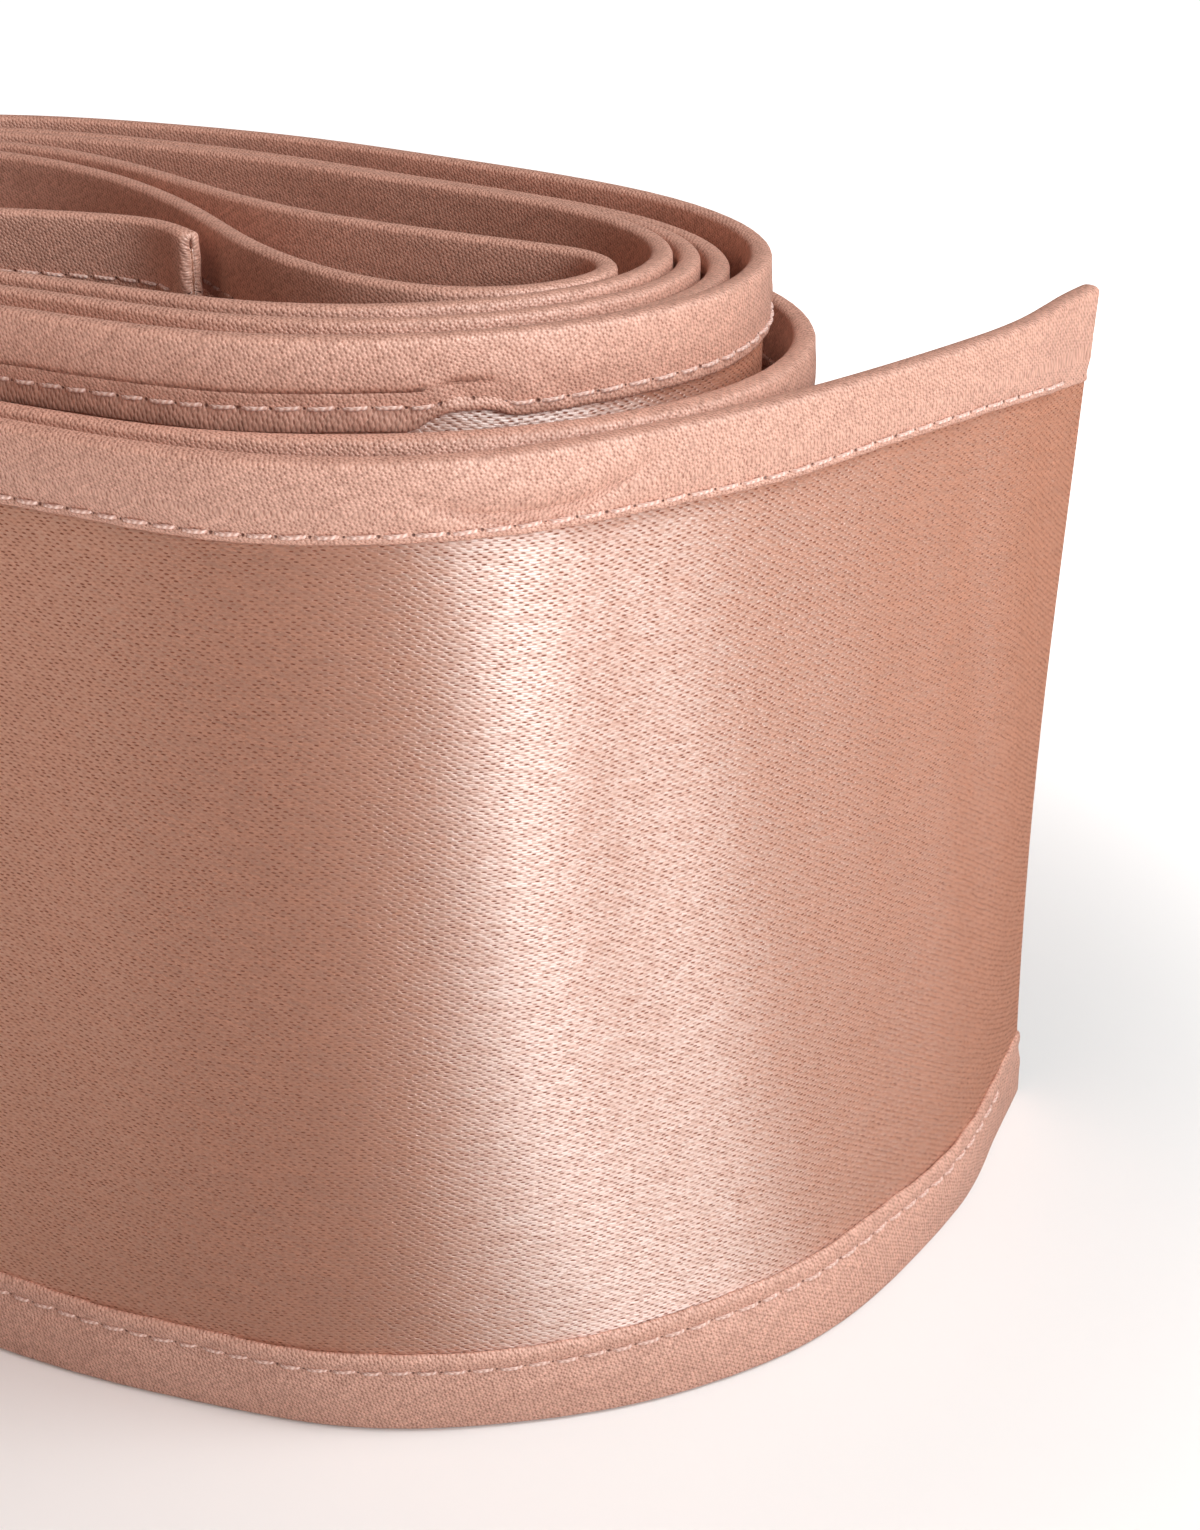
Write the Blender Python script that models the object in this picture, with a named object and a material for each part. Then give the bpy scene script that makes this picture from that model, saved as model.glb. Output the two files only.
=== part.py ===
"""Satin belt: a bound sash rolled into a loose oval coil that stands on its long edge.

The belt is one long strip. It is built as the stretches of its winding, from the free end that
swings out at the front, through five full turns, to the sixth turn that crosses the hollow and the
inner end that folds back. Each stretch is a satin panel with a binding along its upper edge and
another along its lower edge. Lengths are in millimetres until a mesh is made, in metres.
"""

import math
from collections.abc import Callable
from typing import NamedTuple

import bmesh
import bpy
import numpy as np

MM = 0.001

# Driving dimensions, in millimetres
BELT_WIDTH = 75.0
PANEL_WALL = 1.05
BINDING_WALL = 1.4
TOP_BINDING_HEIGHT = 5.3
BOTTOM_BINDING_HEIGHT = 7.0
EDGE_ROUND = 0.7
SEAM_GAP = 0.3

# How the roll lies in the frame: its long axis is turned from X, and its middle is off the origin
ROLL_TURN = math.radians(-28.0)
ROLL_CENTRE = (-11.68, 0.55)

# The inner turns stand this much higher than the free end and the outer turn
INNER_LIFT = 5.5

# Sections stand no further apart than this, and turn no further than this from one to the next
SECTION_STEP = 9.0
SECTION_TURN = math.radians(11.5)
SAMPLES_PER_MM = 6

# Half the angle that the outline's heading is taken over, in degrees
HEADING_STEP = 0.5


class Outline(NamedTuple):
    """A place on the outer turn, from the roll's middle: degrees from its long axis, and how far out."""

    angle: float
    radius: float


class Insets(NamedTuple):
    """How far inside the outer turn's outline a turn runs, from where it starts at the left bend."""

    left: float
    back: float
    right: float
    corner: float
    front: float


class Lifts(NamedTuple):
    """How high a turn's lower edge stands, soon after it starts and on towards each quarter."""

    left: float
    back: float
    right: float
    front: float


class Fold(NamedTuple):
    """A section of a stretch that leaves the outline, along and across the roll's long axis.

    lean is how far the lower edge stands out beyond the upper one, slip how far its corner runs on
    past the upper one's, and flare how much deeper the top binding is.
    """

    along: float
    across: float
    lean: float = 0.0
    slip: float = 0.0
    flare: float = 0.0


OUTER_TURN = [
    Outline(158, 49.8),
    Outline(138, 42.4),
    Outline(116, 34.7),
    Outline(92, 31.2),
    Outline(68, 32.2),
    Outline(48, 38.1),
    Outline(30, 46.8),
    Outline(15, 52.3),
    Outline(2, 53.1),
    Outline(-12, 50.1),
    Outline(-28, 44.2),
    Outline(-46, 36.7),
    Outline(-66, 29.8),
    Outline(-90, 28.0),
    Outline(-116, 31.2),
    Outline(-140, 38.7),
    Outline(-162, 48.8),
    Outline(-180, 53.0),
]

# The quarter turns after a turn's start at which its insets and its lifts hold
INSET_PLACES = (0.0, 1.0, 2.0, 2.25, 3.0)
LIFT_PLACES = (0.4, 1.3, 2.0, 2.7)

TURN_INSETS = [
    Insets(left=0.0, back=0.0, right=0.0, corner=0.0, front=0.1),
    Insets(left=4.4, back=2.5, right=3.2, corner=3.0, front=2.6),
    Insets(left=6.6, back=6.2, right=5.9, corner=5.4, front=4.7),
    Insets(left=8.8, back=8.2, right=8.0, corner=7.6, front=7.0),
    Insets(left=10.9, back=10.3, right=10.1, corner=10.1, front=9.8),
]
INNER_START_INSET = 13.0

TURN_LIFTS = [
    Lifts(left=0.0, back=0.0, right=0.0, front=0.0),
    Lifts(left=5.4, back=5.5, right=5.5, front=5.5),
    Lifts(left=4.9, back=4.6, right=4.7, front=4.5),
    Lifts(left=4.7, back=5.0, right=5.2, front=5.4),
    Lifts(left=5.5, back=5.5, right=5.5, front=5.5),
]

# From the tip of the free end to the left bend
FREE_END = [
    Fold(65.0, 34.1, lean=-3.6, slip=5.2, flare=2.0),
    Fold(64.5, 30.2, lean=-1.9, slip=2.6, flare=1.5),
    Fold(64.0, 23.0, lean=-0.2, slip=0.4, flare=0.6),
    Fold(62.1, 14.6, lean=1.4),
    Fold(59.7, 6.6, lean=2.7),
    Fold(57.1, -0.6, lean=3.2),
    Fold(54.0, -7.6, lean=2.4),
    Fold(50.4, -14.0, lean=1.1),
    Fold(46.3, -20.1, lean=-0.9),
    Fold(40.8, -25.0, lean=-1.8),
    Fold(33.4, -28.4, lean=-1.8),
    Fold(25.2, -29.9, lean=-1.3),
    Fold(14.7, -30.2, lean=0.2),
    Fold(-4.0, -30.8, lean=0.3),
    Fold(-22.0, -30.1, lean=0.2),
    Fold(-36.0, -26.2),
    Fold(-46.2, -18.4),
    Fold(-51.6, -9.0),
]

# The sixth turn leaves the left bend, rounds the right one and crosses the hollow to the back left
SIXTH_TURN = [
    Fold(-39.9, 0.5),
    Fold(-38.5, 6.3),
    Fold(-34.6, 11.3),
    Fold(-27.4, 14.6),
    Fold(-17.0, 15.4),
    Fold(-6.0, 12.8),
    Fold(3.0, 9.4),
    Fold(12.6, 6.7),
    Fold(22.0, 5.9),
    Fold(33.0, 5.9),
    Fold(38.5, 5.0),
    Fold(40.6, 2.4),
    Fold(40.3, -1.1),
    Fold(38.3, -4.5),
    Fold(34.6, -7.0),
    Fold(29.2, -7.8),
    Fold(23.4, -6.7),
    Fold(17.6, -4.4),
    Fold(11.6, -0.8),
    Fold(5.6, 3.3),
    Fold(-2.0, 7.6),
    Fold(-10.5, 10.8),
    Fold(-20.0, 12.2),
    Fold(-28.0, 11.2),
]

# The inner end rounds back from there and stops in the hollow
INNER_END = [
    Fold(-33.6, 7.0),
    Fold(-34.8, 1.0),
    Fold(-31.2, -4.2),
    Fold(-24.4, -6.4),
    Fold(-15.8, -5.9),
    Fold(-7.4, -3.6),
    Fold(0.0, -1.5),
    Fold(5.4, -1.1),
    Fold(9.8, -2.9),
]

# Colours as linear values, with each finish's roughness
SATIN_COLOUR = (0.50, 0.26, 0.185, 1.0)
SATIN_ROUGHNESS = 0.42
BINDING_COLOUR = (0.56, 0.28, 0.205, 1.0)
BINDING_ROUGHNESS = 0.62


class Spline:
    """A smooth curve through rows of values, with no kink and no jump in its bend."""

    def __init__(self, at: np.ndarray, rows: np.ndarray) -> None:
        step = np.diff(at)
        slope = np.diff(rows, axis=0) / step[:, None]
        system = np.eye(len(at))
        change = np.zeros_like(rows)
        for i in range(1, len(at) - 1):
            system[i, i - 1 : i + 2] = step[i - 1], 2.0 * (step[i - 1] + step[i]), step[i]
            change[i] = 6.0 * (slope[i] - slope[i - 1])
        self.at = at
        self.rows = rows
        self.bend = np.linalg.solve(system, change)

    def __call__(self, where: np.ndarray) -> np.ndarray:
        """The curve's values at those places."""
        i = np.clip(np.searchsorted(self.at, where) - 1, 0, len(self.at) - 2)
        step = (self.at[i + 1] - self.at[i])[:, None]
        before = (self.at[i + 1] - where)[:, None] / step
        after = 1.0 - before
        bow = (before**3 - before) * self.bend[i] + (after**3 - after) * self.bend[i + 1]
        return before * self.rows[i] + after * self.rows[i + 1] + bow * step**2 / 6.0


class Section(NamedTuple):
    """One upright section of the belt."""

    place: np.ndarray
    ahead: np.ndarray
    outward: np.ndarray
    lean: float
    slip: float
    flare: float
    lift: float


def left_of(directions: np.ndarray) -> np.ndarray:
    """Each direction turned a quarter to the left, seen from above: outward on this roll."""
    return np.stack([-directions[..., 1], directions[..., 0]], axis=-1)


def unit(directions: np.ndarray) -> np.ndarray:
    """Each direction at a length of one."""
    return directions / np.linalg.norm(directions, axis=-1, keepdims=True)


def outline_spline() -> Spline:
    """The outer turn's radius at each angle, repeated before and after the turn so that it closes."""
    rounds = [(row.angle + 360.0 * lap, row.radius) for lap in (-1, 0, 1) for row in OUTER_TURN]
    rows = np.array(sorted(rounds))
    return Spline(rows[:, 0], rows[:, 1:])


def on_outline(radius: Spline, angles: np.ndarray, inset: np.ndarray) -> np.ndarray:
    """Places that far inside the outer turn's outline, at those angles."""

    def places(degrees: np.ndarray) -> np.ndarray:
        turn = np.radians(degrees)
        return radius(degrees) * np.stack([np.cos(turn), np.sin(turn)], axis=-1)

    ahead = unit(places(angles - HEADING_STEP) - places(angles + HEADING_STEP))
    return places(angles) - inset[:, None] * left_of(ahead)


def eased(at: np.ndarray, values: list[float], where: np.ndarray) -> np.ndarray:
    """The values at those places, level at each value's own place and never beyond its neighbours."""
    i = np.clip(np.searchsorted(at, where) - 1, 0, len(at) - 2)
    share = np.clip((where - at[i]) / (at[i + 1] - at[i]), 0.0, 1.0)
    levels = np.array(values)
    return levels[i] + (levels[i + 1] - levels[i]) * share**2 * (3.0 - 2.0 * share)


def fold_rows(folds: list[Fold], lift: float) -> np.ndarray:
    """A table of folds as rows of along, across, lean, slip, flare and lift."""
    return np.array([(*fold, lift) for fold in folds])


def turn_rows() -> np.ndarray:
    """The five full turns as the same rows, a row at each angle of the outline."""
    radius = outline_spline()
    laps = range(len(TURN_INSETS))
    end = 4.0 * len(TURN_INSETS)
    inset_at = np.array([4.0 * lap + place for lap in laps for place in INSET_PLACES] + [end])
    insets = [value for turn in TURN_INSETS for value in turn] + [INNER_START_INSET]
    inset = Spline(inset_at, np.array(insets)[:, None])
    lift_at = np.array([4.0 * lap + place for lap in laps for place in LIFT_PLACES] + [end])
    lifts = [value for turn in TURN_LIFTS for value in turn] + [INNER_LIFT]
    angles = np.array([row.angle for row in OUTER_TURN], dtype=float)
    rows = []
    for lap in laps:
        quarter = 4.0 * lap + (180.0 - angles) / 90.0
        places = on_outline(radius, angles, inset(quarter)[:, 0])
        upright = np.zeros((len(angles), 3))
        rows.append(np.column_stack([places, upright, eased(lift_at, lifts, quarter)]))
    return np.vstack(rows)


class Belt:
    """The whole strip's path from the free end to the inner end, and where its stretches part."""

    def __init__(self) -> None:
        parts = [
            fold_rows(FREE_END, 0.0),
            fold_rows([Fold(-OUTER_TURN[-1].radius, 0.0)], 0.0),
            turn_rows()[:-1],
            fold_rows(SIXTH_TURN, INNER_LIFT),
            fold_rows(INNER_END, INNER_LIFT),
        ]
        rows = np.vstack(parts)
        steps = np.linalg.norm(np.diff(rows[:, :2], axis=0), axis=1)
        at = np.concatenate([[0.0], np.cumsum(steps)])
        self.path = Spline(at, rows)
        self.length = float(at[-1])
        start = len(FREE_END)
        per_turn = len(OUTER_TURN)
        inner = start + per_turn * len(TURN_INSETS)
        turn = len(SIXTH_TURN)
        marks = [0, *(start + per_turn * lap for lap in range(len(TURN_INSETS))), inner, inner + turn]
        self.marks = [*at[marks], self.length]

    def sections(self, start: float, end: float) -> list[Section]:
        """The sections between two places along the belt, closer together where it bends."""
        count = int((end - start) * SAMPLES_PER_MM)
        where = np.linspace(start, end, count)
        rows = self.path(where)
        rows[:, -1] = np.maximum(rows[:, -1], 0.0)
        ahead = unit(np.gradient(rows[:, :2], axis=0))
        heading = np.unwrap(np.arctan2(ahead[:, 1], ahead[:, 0]))
        run = np.linalg.norm(np.diff(rows[:, :2], axis=0), axis=1) / SECTION_STEP
        bend = np.abs(np.diff(heading)) / SECTION_TURN
        cost = np.concatenate([[0.0], np.cumsum(np.maximum(run, bend))])
        steps = max(2, math.ceil(cost[-1]))
        picks = np.searchsorted(cost, np.linspace(0.0, cost[-1], steps + 1) - 1e-9)
        outward = left_of(ahead)
        return [Section(rows[i, :2], ahead[i], outward[i], *rows[i, 2:]) for i in picks]


def in_frame(section: Section, out: float, height: float) -> tuple[float, float, float]:
    """A point of a section, that far outward from the cloth's middle and that far up its width."""
    low = 1.0 - height / BELT_WIDTH
    flat = section.place + section.outward * (out + section.lean * low)
    flat = flat - section.ahead * section.slip * low**3
    cos, sin = math.cos(ROLL_TURN), math.sin(ROLL_TURN)
    x = flat[0] * cos - flat[1] * sin + ROLL_CENTRE[0]
    y = flat[0] * sin + flat[1] * cos + ROLL_CENTRE[1]
    return x * MM, y * MM, (height + section.lift) * MM


def panel_profile(section: Section) -> list[tuple[float, float]]:
    """The panel's upright section, as outward and height, between the two bindings."""
    half = PANEL_WALL / 2.0
    low = BOTTOM_BINDING_HEIGHT + SEAM_GAP / 2.0
    high = BELT_WIDTH - TOP_BINDING_HEIGHT - section.flare - SEAM_GAP / 2.0
    return [(half, low), (half, high), (-half, high), (-half, low)]


def binding_profile(depth: float) -> list[tuple[float, float]]:
    """A folded binding's section, as outward and up from its edge, softened to a narrow flat."""
    half = BINDING_WALL / 2.0
    flat = half - EDGE_ROUND / 2.0
    inner = depth - SEAM_GAP / 2.0
    sides = [(half, EDGE_ROUND), (half, inner), (-half, inner), (-half, EDGE_ROUND)]
    return [*sides, (-flat, 0.0), (flat, 0.0)]


def bottom_binding_profile(_section: Section) -> list[tuple[float, float]]:
    """The lower binding, which stands on its edge."""
    return binding_profile(BOTTOM_BINDING_HEIGHT)


def top_binding_profile(section: Section) -> list[tuple[float, float]]:
    """The upper binding, edge up, which widens towards the free end's tip."""
    profile = binding_profile(TOP_BINDING_HEIGHT + section.flare)
    return [(out, BELT_WIDTH - down) for out, down in reversed(profile)]


def make_material(name: str, colour: tuple[float, ...], roughness: float) -> bpy.types.Material:
    """A plain cloth finish."""
    material = bpy.data.materials.new(name)
    material.use_nodes = True
    shader = material.node_tree.nodes["Principled BSDF"]
    shader.inputs["Base Color"].default_value = colour
    shader.inputs["Roughness"].default_value = roughness
    shader.inputs["Metallic"].default_value = 0.0
    return material


def loft(
    name: str,
    sections: list[Section],
    profile: Callable[[Section], list[tuple[float, float]]],
    material: bpy.types.Material,
    collection: bpy.types.Collection,
) -> bpy.types.Object:
    """One closed solid that carries the profile through the sections, with a flat end at each end."""
    mesh = bpy.data.meshes.new(name)
    shape = bmesh.new()
    rings = [[shape.verts.new(in_frame(s, out, up)) for out, up in profile(s)] for s in sections]
    size = len(rings[0])
    for ring, following in zip(rings, rings[1:]):
        for i in range(size):
            j = (i + 1) % size
            shape.faces.new((ring[i], ring[j], following[j], following[i]))
    shape.faces.new(rings[0][::-1])
    shape.faces.new(rings[-1])
    bmesh.ops.recalc_face_normals(shape, faces=shape.faces)
    shape.to_mesh(mesh)
    shape.free()
    mesh.materials.append(material)
    solid = bpy.data.objects.new(name, mesh)
    collection.objects.link(solid)
    return solid


def build() -> None:
    """The belt's stretches, each with its panel and its two bindings."""
    for leftover in list(bpy.data.objects):
        bpy.data.objects.remove(leftover, do_unlink=True)
    collection = bpy.data.collections.new("satin_belt")
    bpy.context.scene.collection.children.link(collection)
    satin = make_material("rose_satin", SATIN_COLOUR, SATIN_ROUGHNESS)
    bias = make_material("bias_binding", BINDING_COLOUR, BINDING_ROUGHNESS)

    belt = Belt()
    turns = [f"turn_{lap + 1}" for lap in range(len(TURN_INSETS) + 1)]
    stretches = ["free_end", *turns, "inner_end"]
    for name, start, end in zip(stretches, belt.marks, belt.marks[1:]):
        begin = start + SEAM_GAP / 2.0 if start > 0.0 else start
        stop = end - SEAM_GAP / 2.0 if end < belt.length else end
        sections = belt.sections(begin, stop)
        loft(f"{name}_panel", sections, panel_profile, satin, collection)
        loft(f"{name}_top_binding", sections, top_binding_profile, bias, collection)
        loft(f"{name}_bottom_binding", sections, bottom_binding_profile, bias, collection)


build()
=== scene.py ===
"""Satin belt: a bound sash rolled into a loose oval coil that stands on its long edge.

The belt is two layers of satin, back to back, with a bias binding folded over each long edge and
topstitched through on both sides. Each strip is cut flat at its real size, then wound along the
belt's path, which is the path of the part's solids. Lengths are in millimetres until a mesh is
made, in metres.
"""

import logging
import math
from dataclasses import dataclass, field
from enum import Enum
from typing import NamedTuple

import bpy
import numpy as np
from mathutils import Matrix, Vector


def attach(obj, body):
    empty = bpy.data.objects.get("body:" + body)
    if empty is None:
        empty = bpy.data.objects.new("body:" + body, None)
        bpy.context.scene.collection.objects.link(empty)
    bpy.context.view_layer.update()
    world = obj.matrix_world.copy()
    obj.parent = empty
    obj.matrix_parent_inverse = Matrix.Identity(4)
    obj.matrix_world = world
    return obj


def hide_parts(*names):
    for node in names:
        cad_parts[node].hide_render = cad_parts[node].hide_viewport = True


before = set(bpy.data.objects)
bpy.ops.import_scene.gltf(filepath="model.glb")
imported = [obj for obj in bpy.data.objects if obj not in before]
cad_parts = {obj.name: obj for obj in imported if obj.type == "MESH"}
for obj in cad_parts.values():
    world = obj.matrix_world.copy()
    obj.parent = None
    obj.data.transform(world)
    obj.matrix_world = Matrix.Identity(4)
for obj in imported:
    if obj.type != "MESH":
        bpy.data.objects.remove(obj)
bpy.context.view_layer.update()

LOG = logging.getLogger("satin_belt")
Tree = bpy.types.NodeTree
Socket = bpy.types.NodeSocket

MM = 0.001
BODY = "root"
CLOTH_UV = "cloth"
SEAM_UV = "seam"

# The belt's own sizes, in millimetres, as in the solids
BELT_WIDTH = 75.0
TOP_BINDING_DEPTH = 5.3
BOTTOM_BINDING_DEPTH = 7.0
ROLL_TURN = math.radians(-28.0)
ROLL_CENTRE = (-11.68, 0.55)
INNER_LIFT = 5.5
HEADING_STEP = 0.5
STRETCHES = ("free_end", "turn_1", "turn_2", "turn_3", "turn_4", "turn_5", "turn_6", "inner_end")

# The free end leans out mostly near its foot: how sharply it turns out there, and from where along
FOOT_FLARE = 4.0
FOOT_FLARE_FROM = (12.0, 26.0)

# A machine's topstitch, in millimetres
STITCH_PITCH = 2.05
STITCH_SHARE = 0.93


class Edge(Enum):
    """The belt's two long edges, by the name of the binding's solids."""

    UPPER = "top"
    LOWER = "bottom"


class Face(Enum):
    """The belt's two faces: which way they look from the cloth's middle."""

    OUTER = 1.0
    INNER = -1.0


class Outline(NamedTuple):
    """A place on the outer turn: its angle from the roll's long axis, and how far out it is."""

    angle: float
    radius: float


class Insets(NamedTuple):
    """How far inside the outline a turn runs, from where it starts at the left bend."""

    left: float
    back: float
    right: float
    corner: float
    front: float


class Lifts(NamedTuple):
    """How high a turn's lower edge stands, soon after it starts and on towards each quarter."""

    left: float
    back: float
    right: float
    front: float


class Fold(NamedTuple):
    """A section of a stretch that leaves the outline, along and across the roll's long axis."""

    along: float
    across: float
    lean: float = 0.0
    slip: float = 0.0
    flare: float = 0.0


OUTER_TURN = [
    Outline(158, 49.8),
    Outline(138, 42.4),
    Outline(116, 34.7),
    Outline(92, 31.2),
    Outline(68, 32.2),
    Outline(48, 38.1),
    Outline(30, 46.8),
    Outline(15, 52.3),
    Outline(2, 53.1),
    Outline(-12, 50.1),
    Outline(-28, 44.2),
    Outline(-46, 36.7),
    Outline(-66, 29.8),
    Outline(-90, 28.0),
    Outline(-116, 31.2),
    Outline(-140, 38.7),
    Outline(-162, 48.8),
    Outline(-180, 53.0),
]

# The quarter turns after a turn's start at which its insets and its lifts hold
INSET_PLACES = (0.0, 1.0, 2.0, 2.25, 3.0)
LIFT_PLACES = (0.4, 1.3, 2.0, 2.7)

TURN_INSETS = [
    Insets(left=0.0, back=0.0, right=0.0, corner=0.0, front=0.1),
    Insets(left=4.4, back=2.5, right=3.2, corner=3.0, front=2.6),
    Insets(left=6.6, back=6.2, right=5.9, corner=5.4, front=4.7),
    Insets(left=8.8, back=8.2, right=8.0, corner=7.6, front=7.0),
    Insets(left=10.9, back=10.3, right=10.1, corner=10.1, front=9.8),
]
INNER_START_INSET = 13.0

TURN_LIFTS = [
    Lifts(left=0.0, back=0.0, right=0.0, front=0.0),
    Lifts(left=5.4, back=5.5, right=5.5, front=5.5),
    Lifts(left=4.9, back=4.6, right=4.7, front=4.5),
    Lifts(left=4.7, back=5.0, right=5.2, front=5.4),
    Lifts(left=5.5, back=5.5, right=5.5, front=5.5),
]

# From the tip of the free end to the left bend
FREE_END = [
    Fold(65.0, 34.1, lean=-3.6, slip=5.2, flare=2.0),
    Fold(64.5, 30.2, lean=-1.9, slip=2.6, flare=1.5),
    Fold(64.0, 23.0, lean=-0.2, slip=0.4, flare=0.6),
    Fold(62.1, 14.6, lean=1.4),
    Fold(59.7, 6.6, lean=2.7),
    Fold(57.1, -0.6, lean=3.2),
    Fold(54.0, -7.6, lean=2.4),
    Fold(50.4, -14.0, lean=1.1),
    Fold(46.3, -20.1, lean=-0.9),
    Fold(40.8, -25.0, lean=-1.8),
    Fold(33.4, -28.4, lean=-1.8),
    Fold(25.2, -29.9, lean=-1.3),
    Fold(14.7, -30.2, lean=0.2),
    Fold(-4.0, -30.8, lean=0.3),
    Fold(-22.0, -30.1, lean=0.2),
    Fold(-36.0, -26.2),
    Fold(-46.2, -18.4),
    Fold(-51.6, -9.0),
]

# The sixth turn leaves the left bend, rounds the right one and crosses the hollow to the back left
SIXTH_TURN = [
    Fold(-39.9, 0.5),
    Fold(-38.5, 6.3),
    Fold(-34.6, 11.3),
    Fold(-27.4, 14.6),
    Fold(-17.0, 15.4),
    Fold(-6.0, 12.8),
    Fold(3.0, 9.4),
    Fold(12.6, 6.7),
    Fold(22.0, 5.9),
    Fold(33.0, 5.9),
    Fold(38.5, 5.0),
    Fold(40.6, 2.4),
    Fold(40.3, -1.1),
    Fold(38.3, -4.5),
    Fold(34.6, -7.0),
    Fold(29.2, -7.8),
    Fold(23.4, -6.7),
    Fold(17.6, -4.4),
    Fold(11.6, -0.8),
    Fold(5.6, 3.3),
    Fold(-2.0, 7.6),
    Fold(-10.5, 10.8),
    Fold(-20.0, 12.2),
    Fold(-28.0, 11.2),
]

# The inner end rounds back from there and stops in the hollow
INNER_END = [
    Fold(-33.6, 7.0),
    Fold(-34.8, 1.0),
    Fold(-31.2, -4.2),
    Fold(-24.4, -6.4),
    Fold(-15.8, -5.9),
    Fold(-7.4, -3.6),
    Fold(0.0, -1.5),
    Fold(5.4, -1.1),
    Fold(9.8, -2.9),
]


class Crease(NamedTuple):
    """A soft trough or ridge pressed into the cloth, from one place to another.

    Each place is how far along the belt from the free end's tip, and how far down from its upper
    edge. bow is how far the middle bends down from the straight line, width how far the crease
    reaches to each side, and rise how far it lifts the face that looks out of the roll: a trough's
    is below zero.
    """

    start: tuple[float, float]
    end: tuple[float, float]
    bow: float
    width: float
    rise: float


class Station(NamedTuple):
    """Up to where along the belt its sections stand no further apart than that step."""

    end: float
    step: float


STATIONS = [
    Station(end=104.0, step=0.8),
    Station(end=176.0, step=2.0),
    Station(end=574.0, step=2.8),
    Station(end=582.0, step=1.2),
    Station(end=594.0, step=0.45),
    Station(end=645.0, step=1.4),
    Station(end=1600.0, step=2.8),
]
STATION_TURN = math.radians(4.5)
STATION_SEARCH = 0.15

# How far to each side of a place its heading is read, and how late a slipped section bends
HEADING_REACH = 0.25
SLIP_BEND = 3


class Spline:
    """A smooth curve through rows of values, with no kink and no jump in its bend."""

    def __init__(self, at: np.ndarray, rows: np.ndarray) -> None:
        """Solves the curve.

        Args:
            at: Where each row stands, rising.
            rows: The values at each place.
        """
        step = np.diff(at)
        slope = np.diff(rows, axis=0) / step[:, None]
        system = np.eye(len(at))
        change = np.zeros_like(rows)
        for i in range(1, len(at) - 1):
            system[i, i - 1 : i + 2] = step[i - 1], 2.0 * (step[i - 1] + step[i]), step[i]
            change[i] = 6.0 * (slope[i] - slope[i - 1])
        self.at = at
        self.rows = rows
        self.bend = np.linalg.solve(system, change)

    def __call__(self, where: np.ndarray) -> np.ndarray:
        """Reads the curve.

        Args:
            where: The places to read.

        Returns:
            A row of values for each place.
        """
        i = np.clip(np.searchsorted(self.at, where) - 1, 0, len(self.at) - 2)
        step = (self.at[i + 1] - self.at[i])[:, None]
        before = (self.at[i + 1] - where)[:, None] / step
        after = 1.0 - before
        bow = (before**3 - before) * self.bend[i] + (after**3 - after) * self.bend[i + 1]
        return before * self.rows[i] + after * self.rows[i + 1] + bow * step**2 / 6.0


def unit(directions: np.ndarray) -> np.ndarray:
    """Returns each direction at a length of one."""
    return directions / np.linalg.norm(directions, axis=-1, keepdims=True)


def left_of(directions: np.ndarray) -> np.ndarray:
    """Returns each direction turned a quarter to the left: outward on this roll."""
    return np.stack([-directions[..., 1], directions[..., 0]], axis=-1)


def eased(at: np.ndarray, values: list[float], where: np.ndarray) -> np.ndarray:
    """Reads a table that is level at each of its own places.

    Args:
        at: Where each value stands, rising.
        values: The values.
        where: The places to read.

    Returns:
        The values there, never beyond their neighbours.
    """
    i = np.clip(np.searchsorted(at, where) - 1, 0, len(at) - 2)
    share = np.clip((where - at[i]) / (at[i + 1] - at[i]), 0.0, 1.0)
    levels = np.array(values)
    return levels[i] + (levels[i + 1] - levels[i]) * share**2 * (3.0 - 2.0 * share)


def smooth_step(low: float, high: float, value: np.ndarray) -> np.ndarray:
    """Returns 0 below low, 1 above high and a soft rise between them."""
    share = np.clip((value - low) / (high - low), 0.0, 1.0)
    return share**2 * (3.0 - 2.0 * share)


def within(zone: tuple[float, float, float, float], value: np.ndarray) -> np.ndarray:
    """Returns 1 inside a zone, with a soft rise up to it and a soft fall beyond it.

    Args:
        zone: Where the rise begins and ends, and where the fall begins and ends.
        value: The places to read.

    Returns:
        A share for each place.
    """
    return smooth_step(zone[0], zone[1], value) * (1.0 - smooth_step(zone[2], zone[3], value))


def ripple(place: np.ndarray, height: float, scale: float, *shifts: object) -> np.ndarray:
    """Reads a wave.

    Args:
        place: The places to read.
        height: How high it is.
        scale: Over what length it turns by one radian.
        shifts: How far on it is there, in radians, each added in turn.

    Returns:
        Its height at each place.
    """
    turned = place / scale
    for shift in shifts:
        turned = turned + shift
    return height * np.sin(turned)


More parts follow.
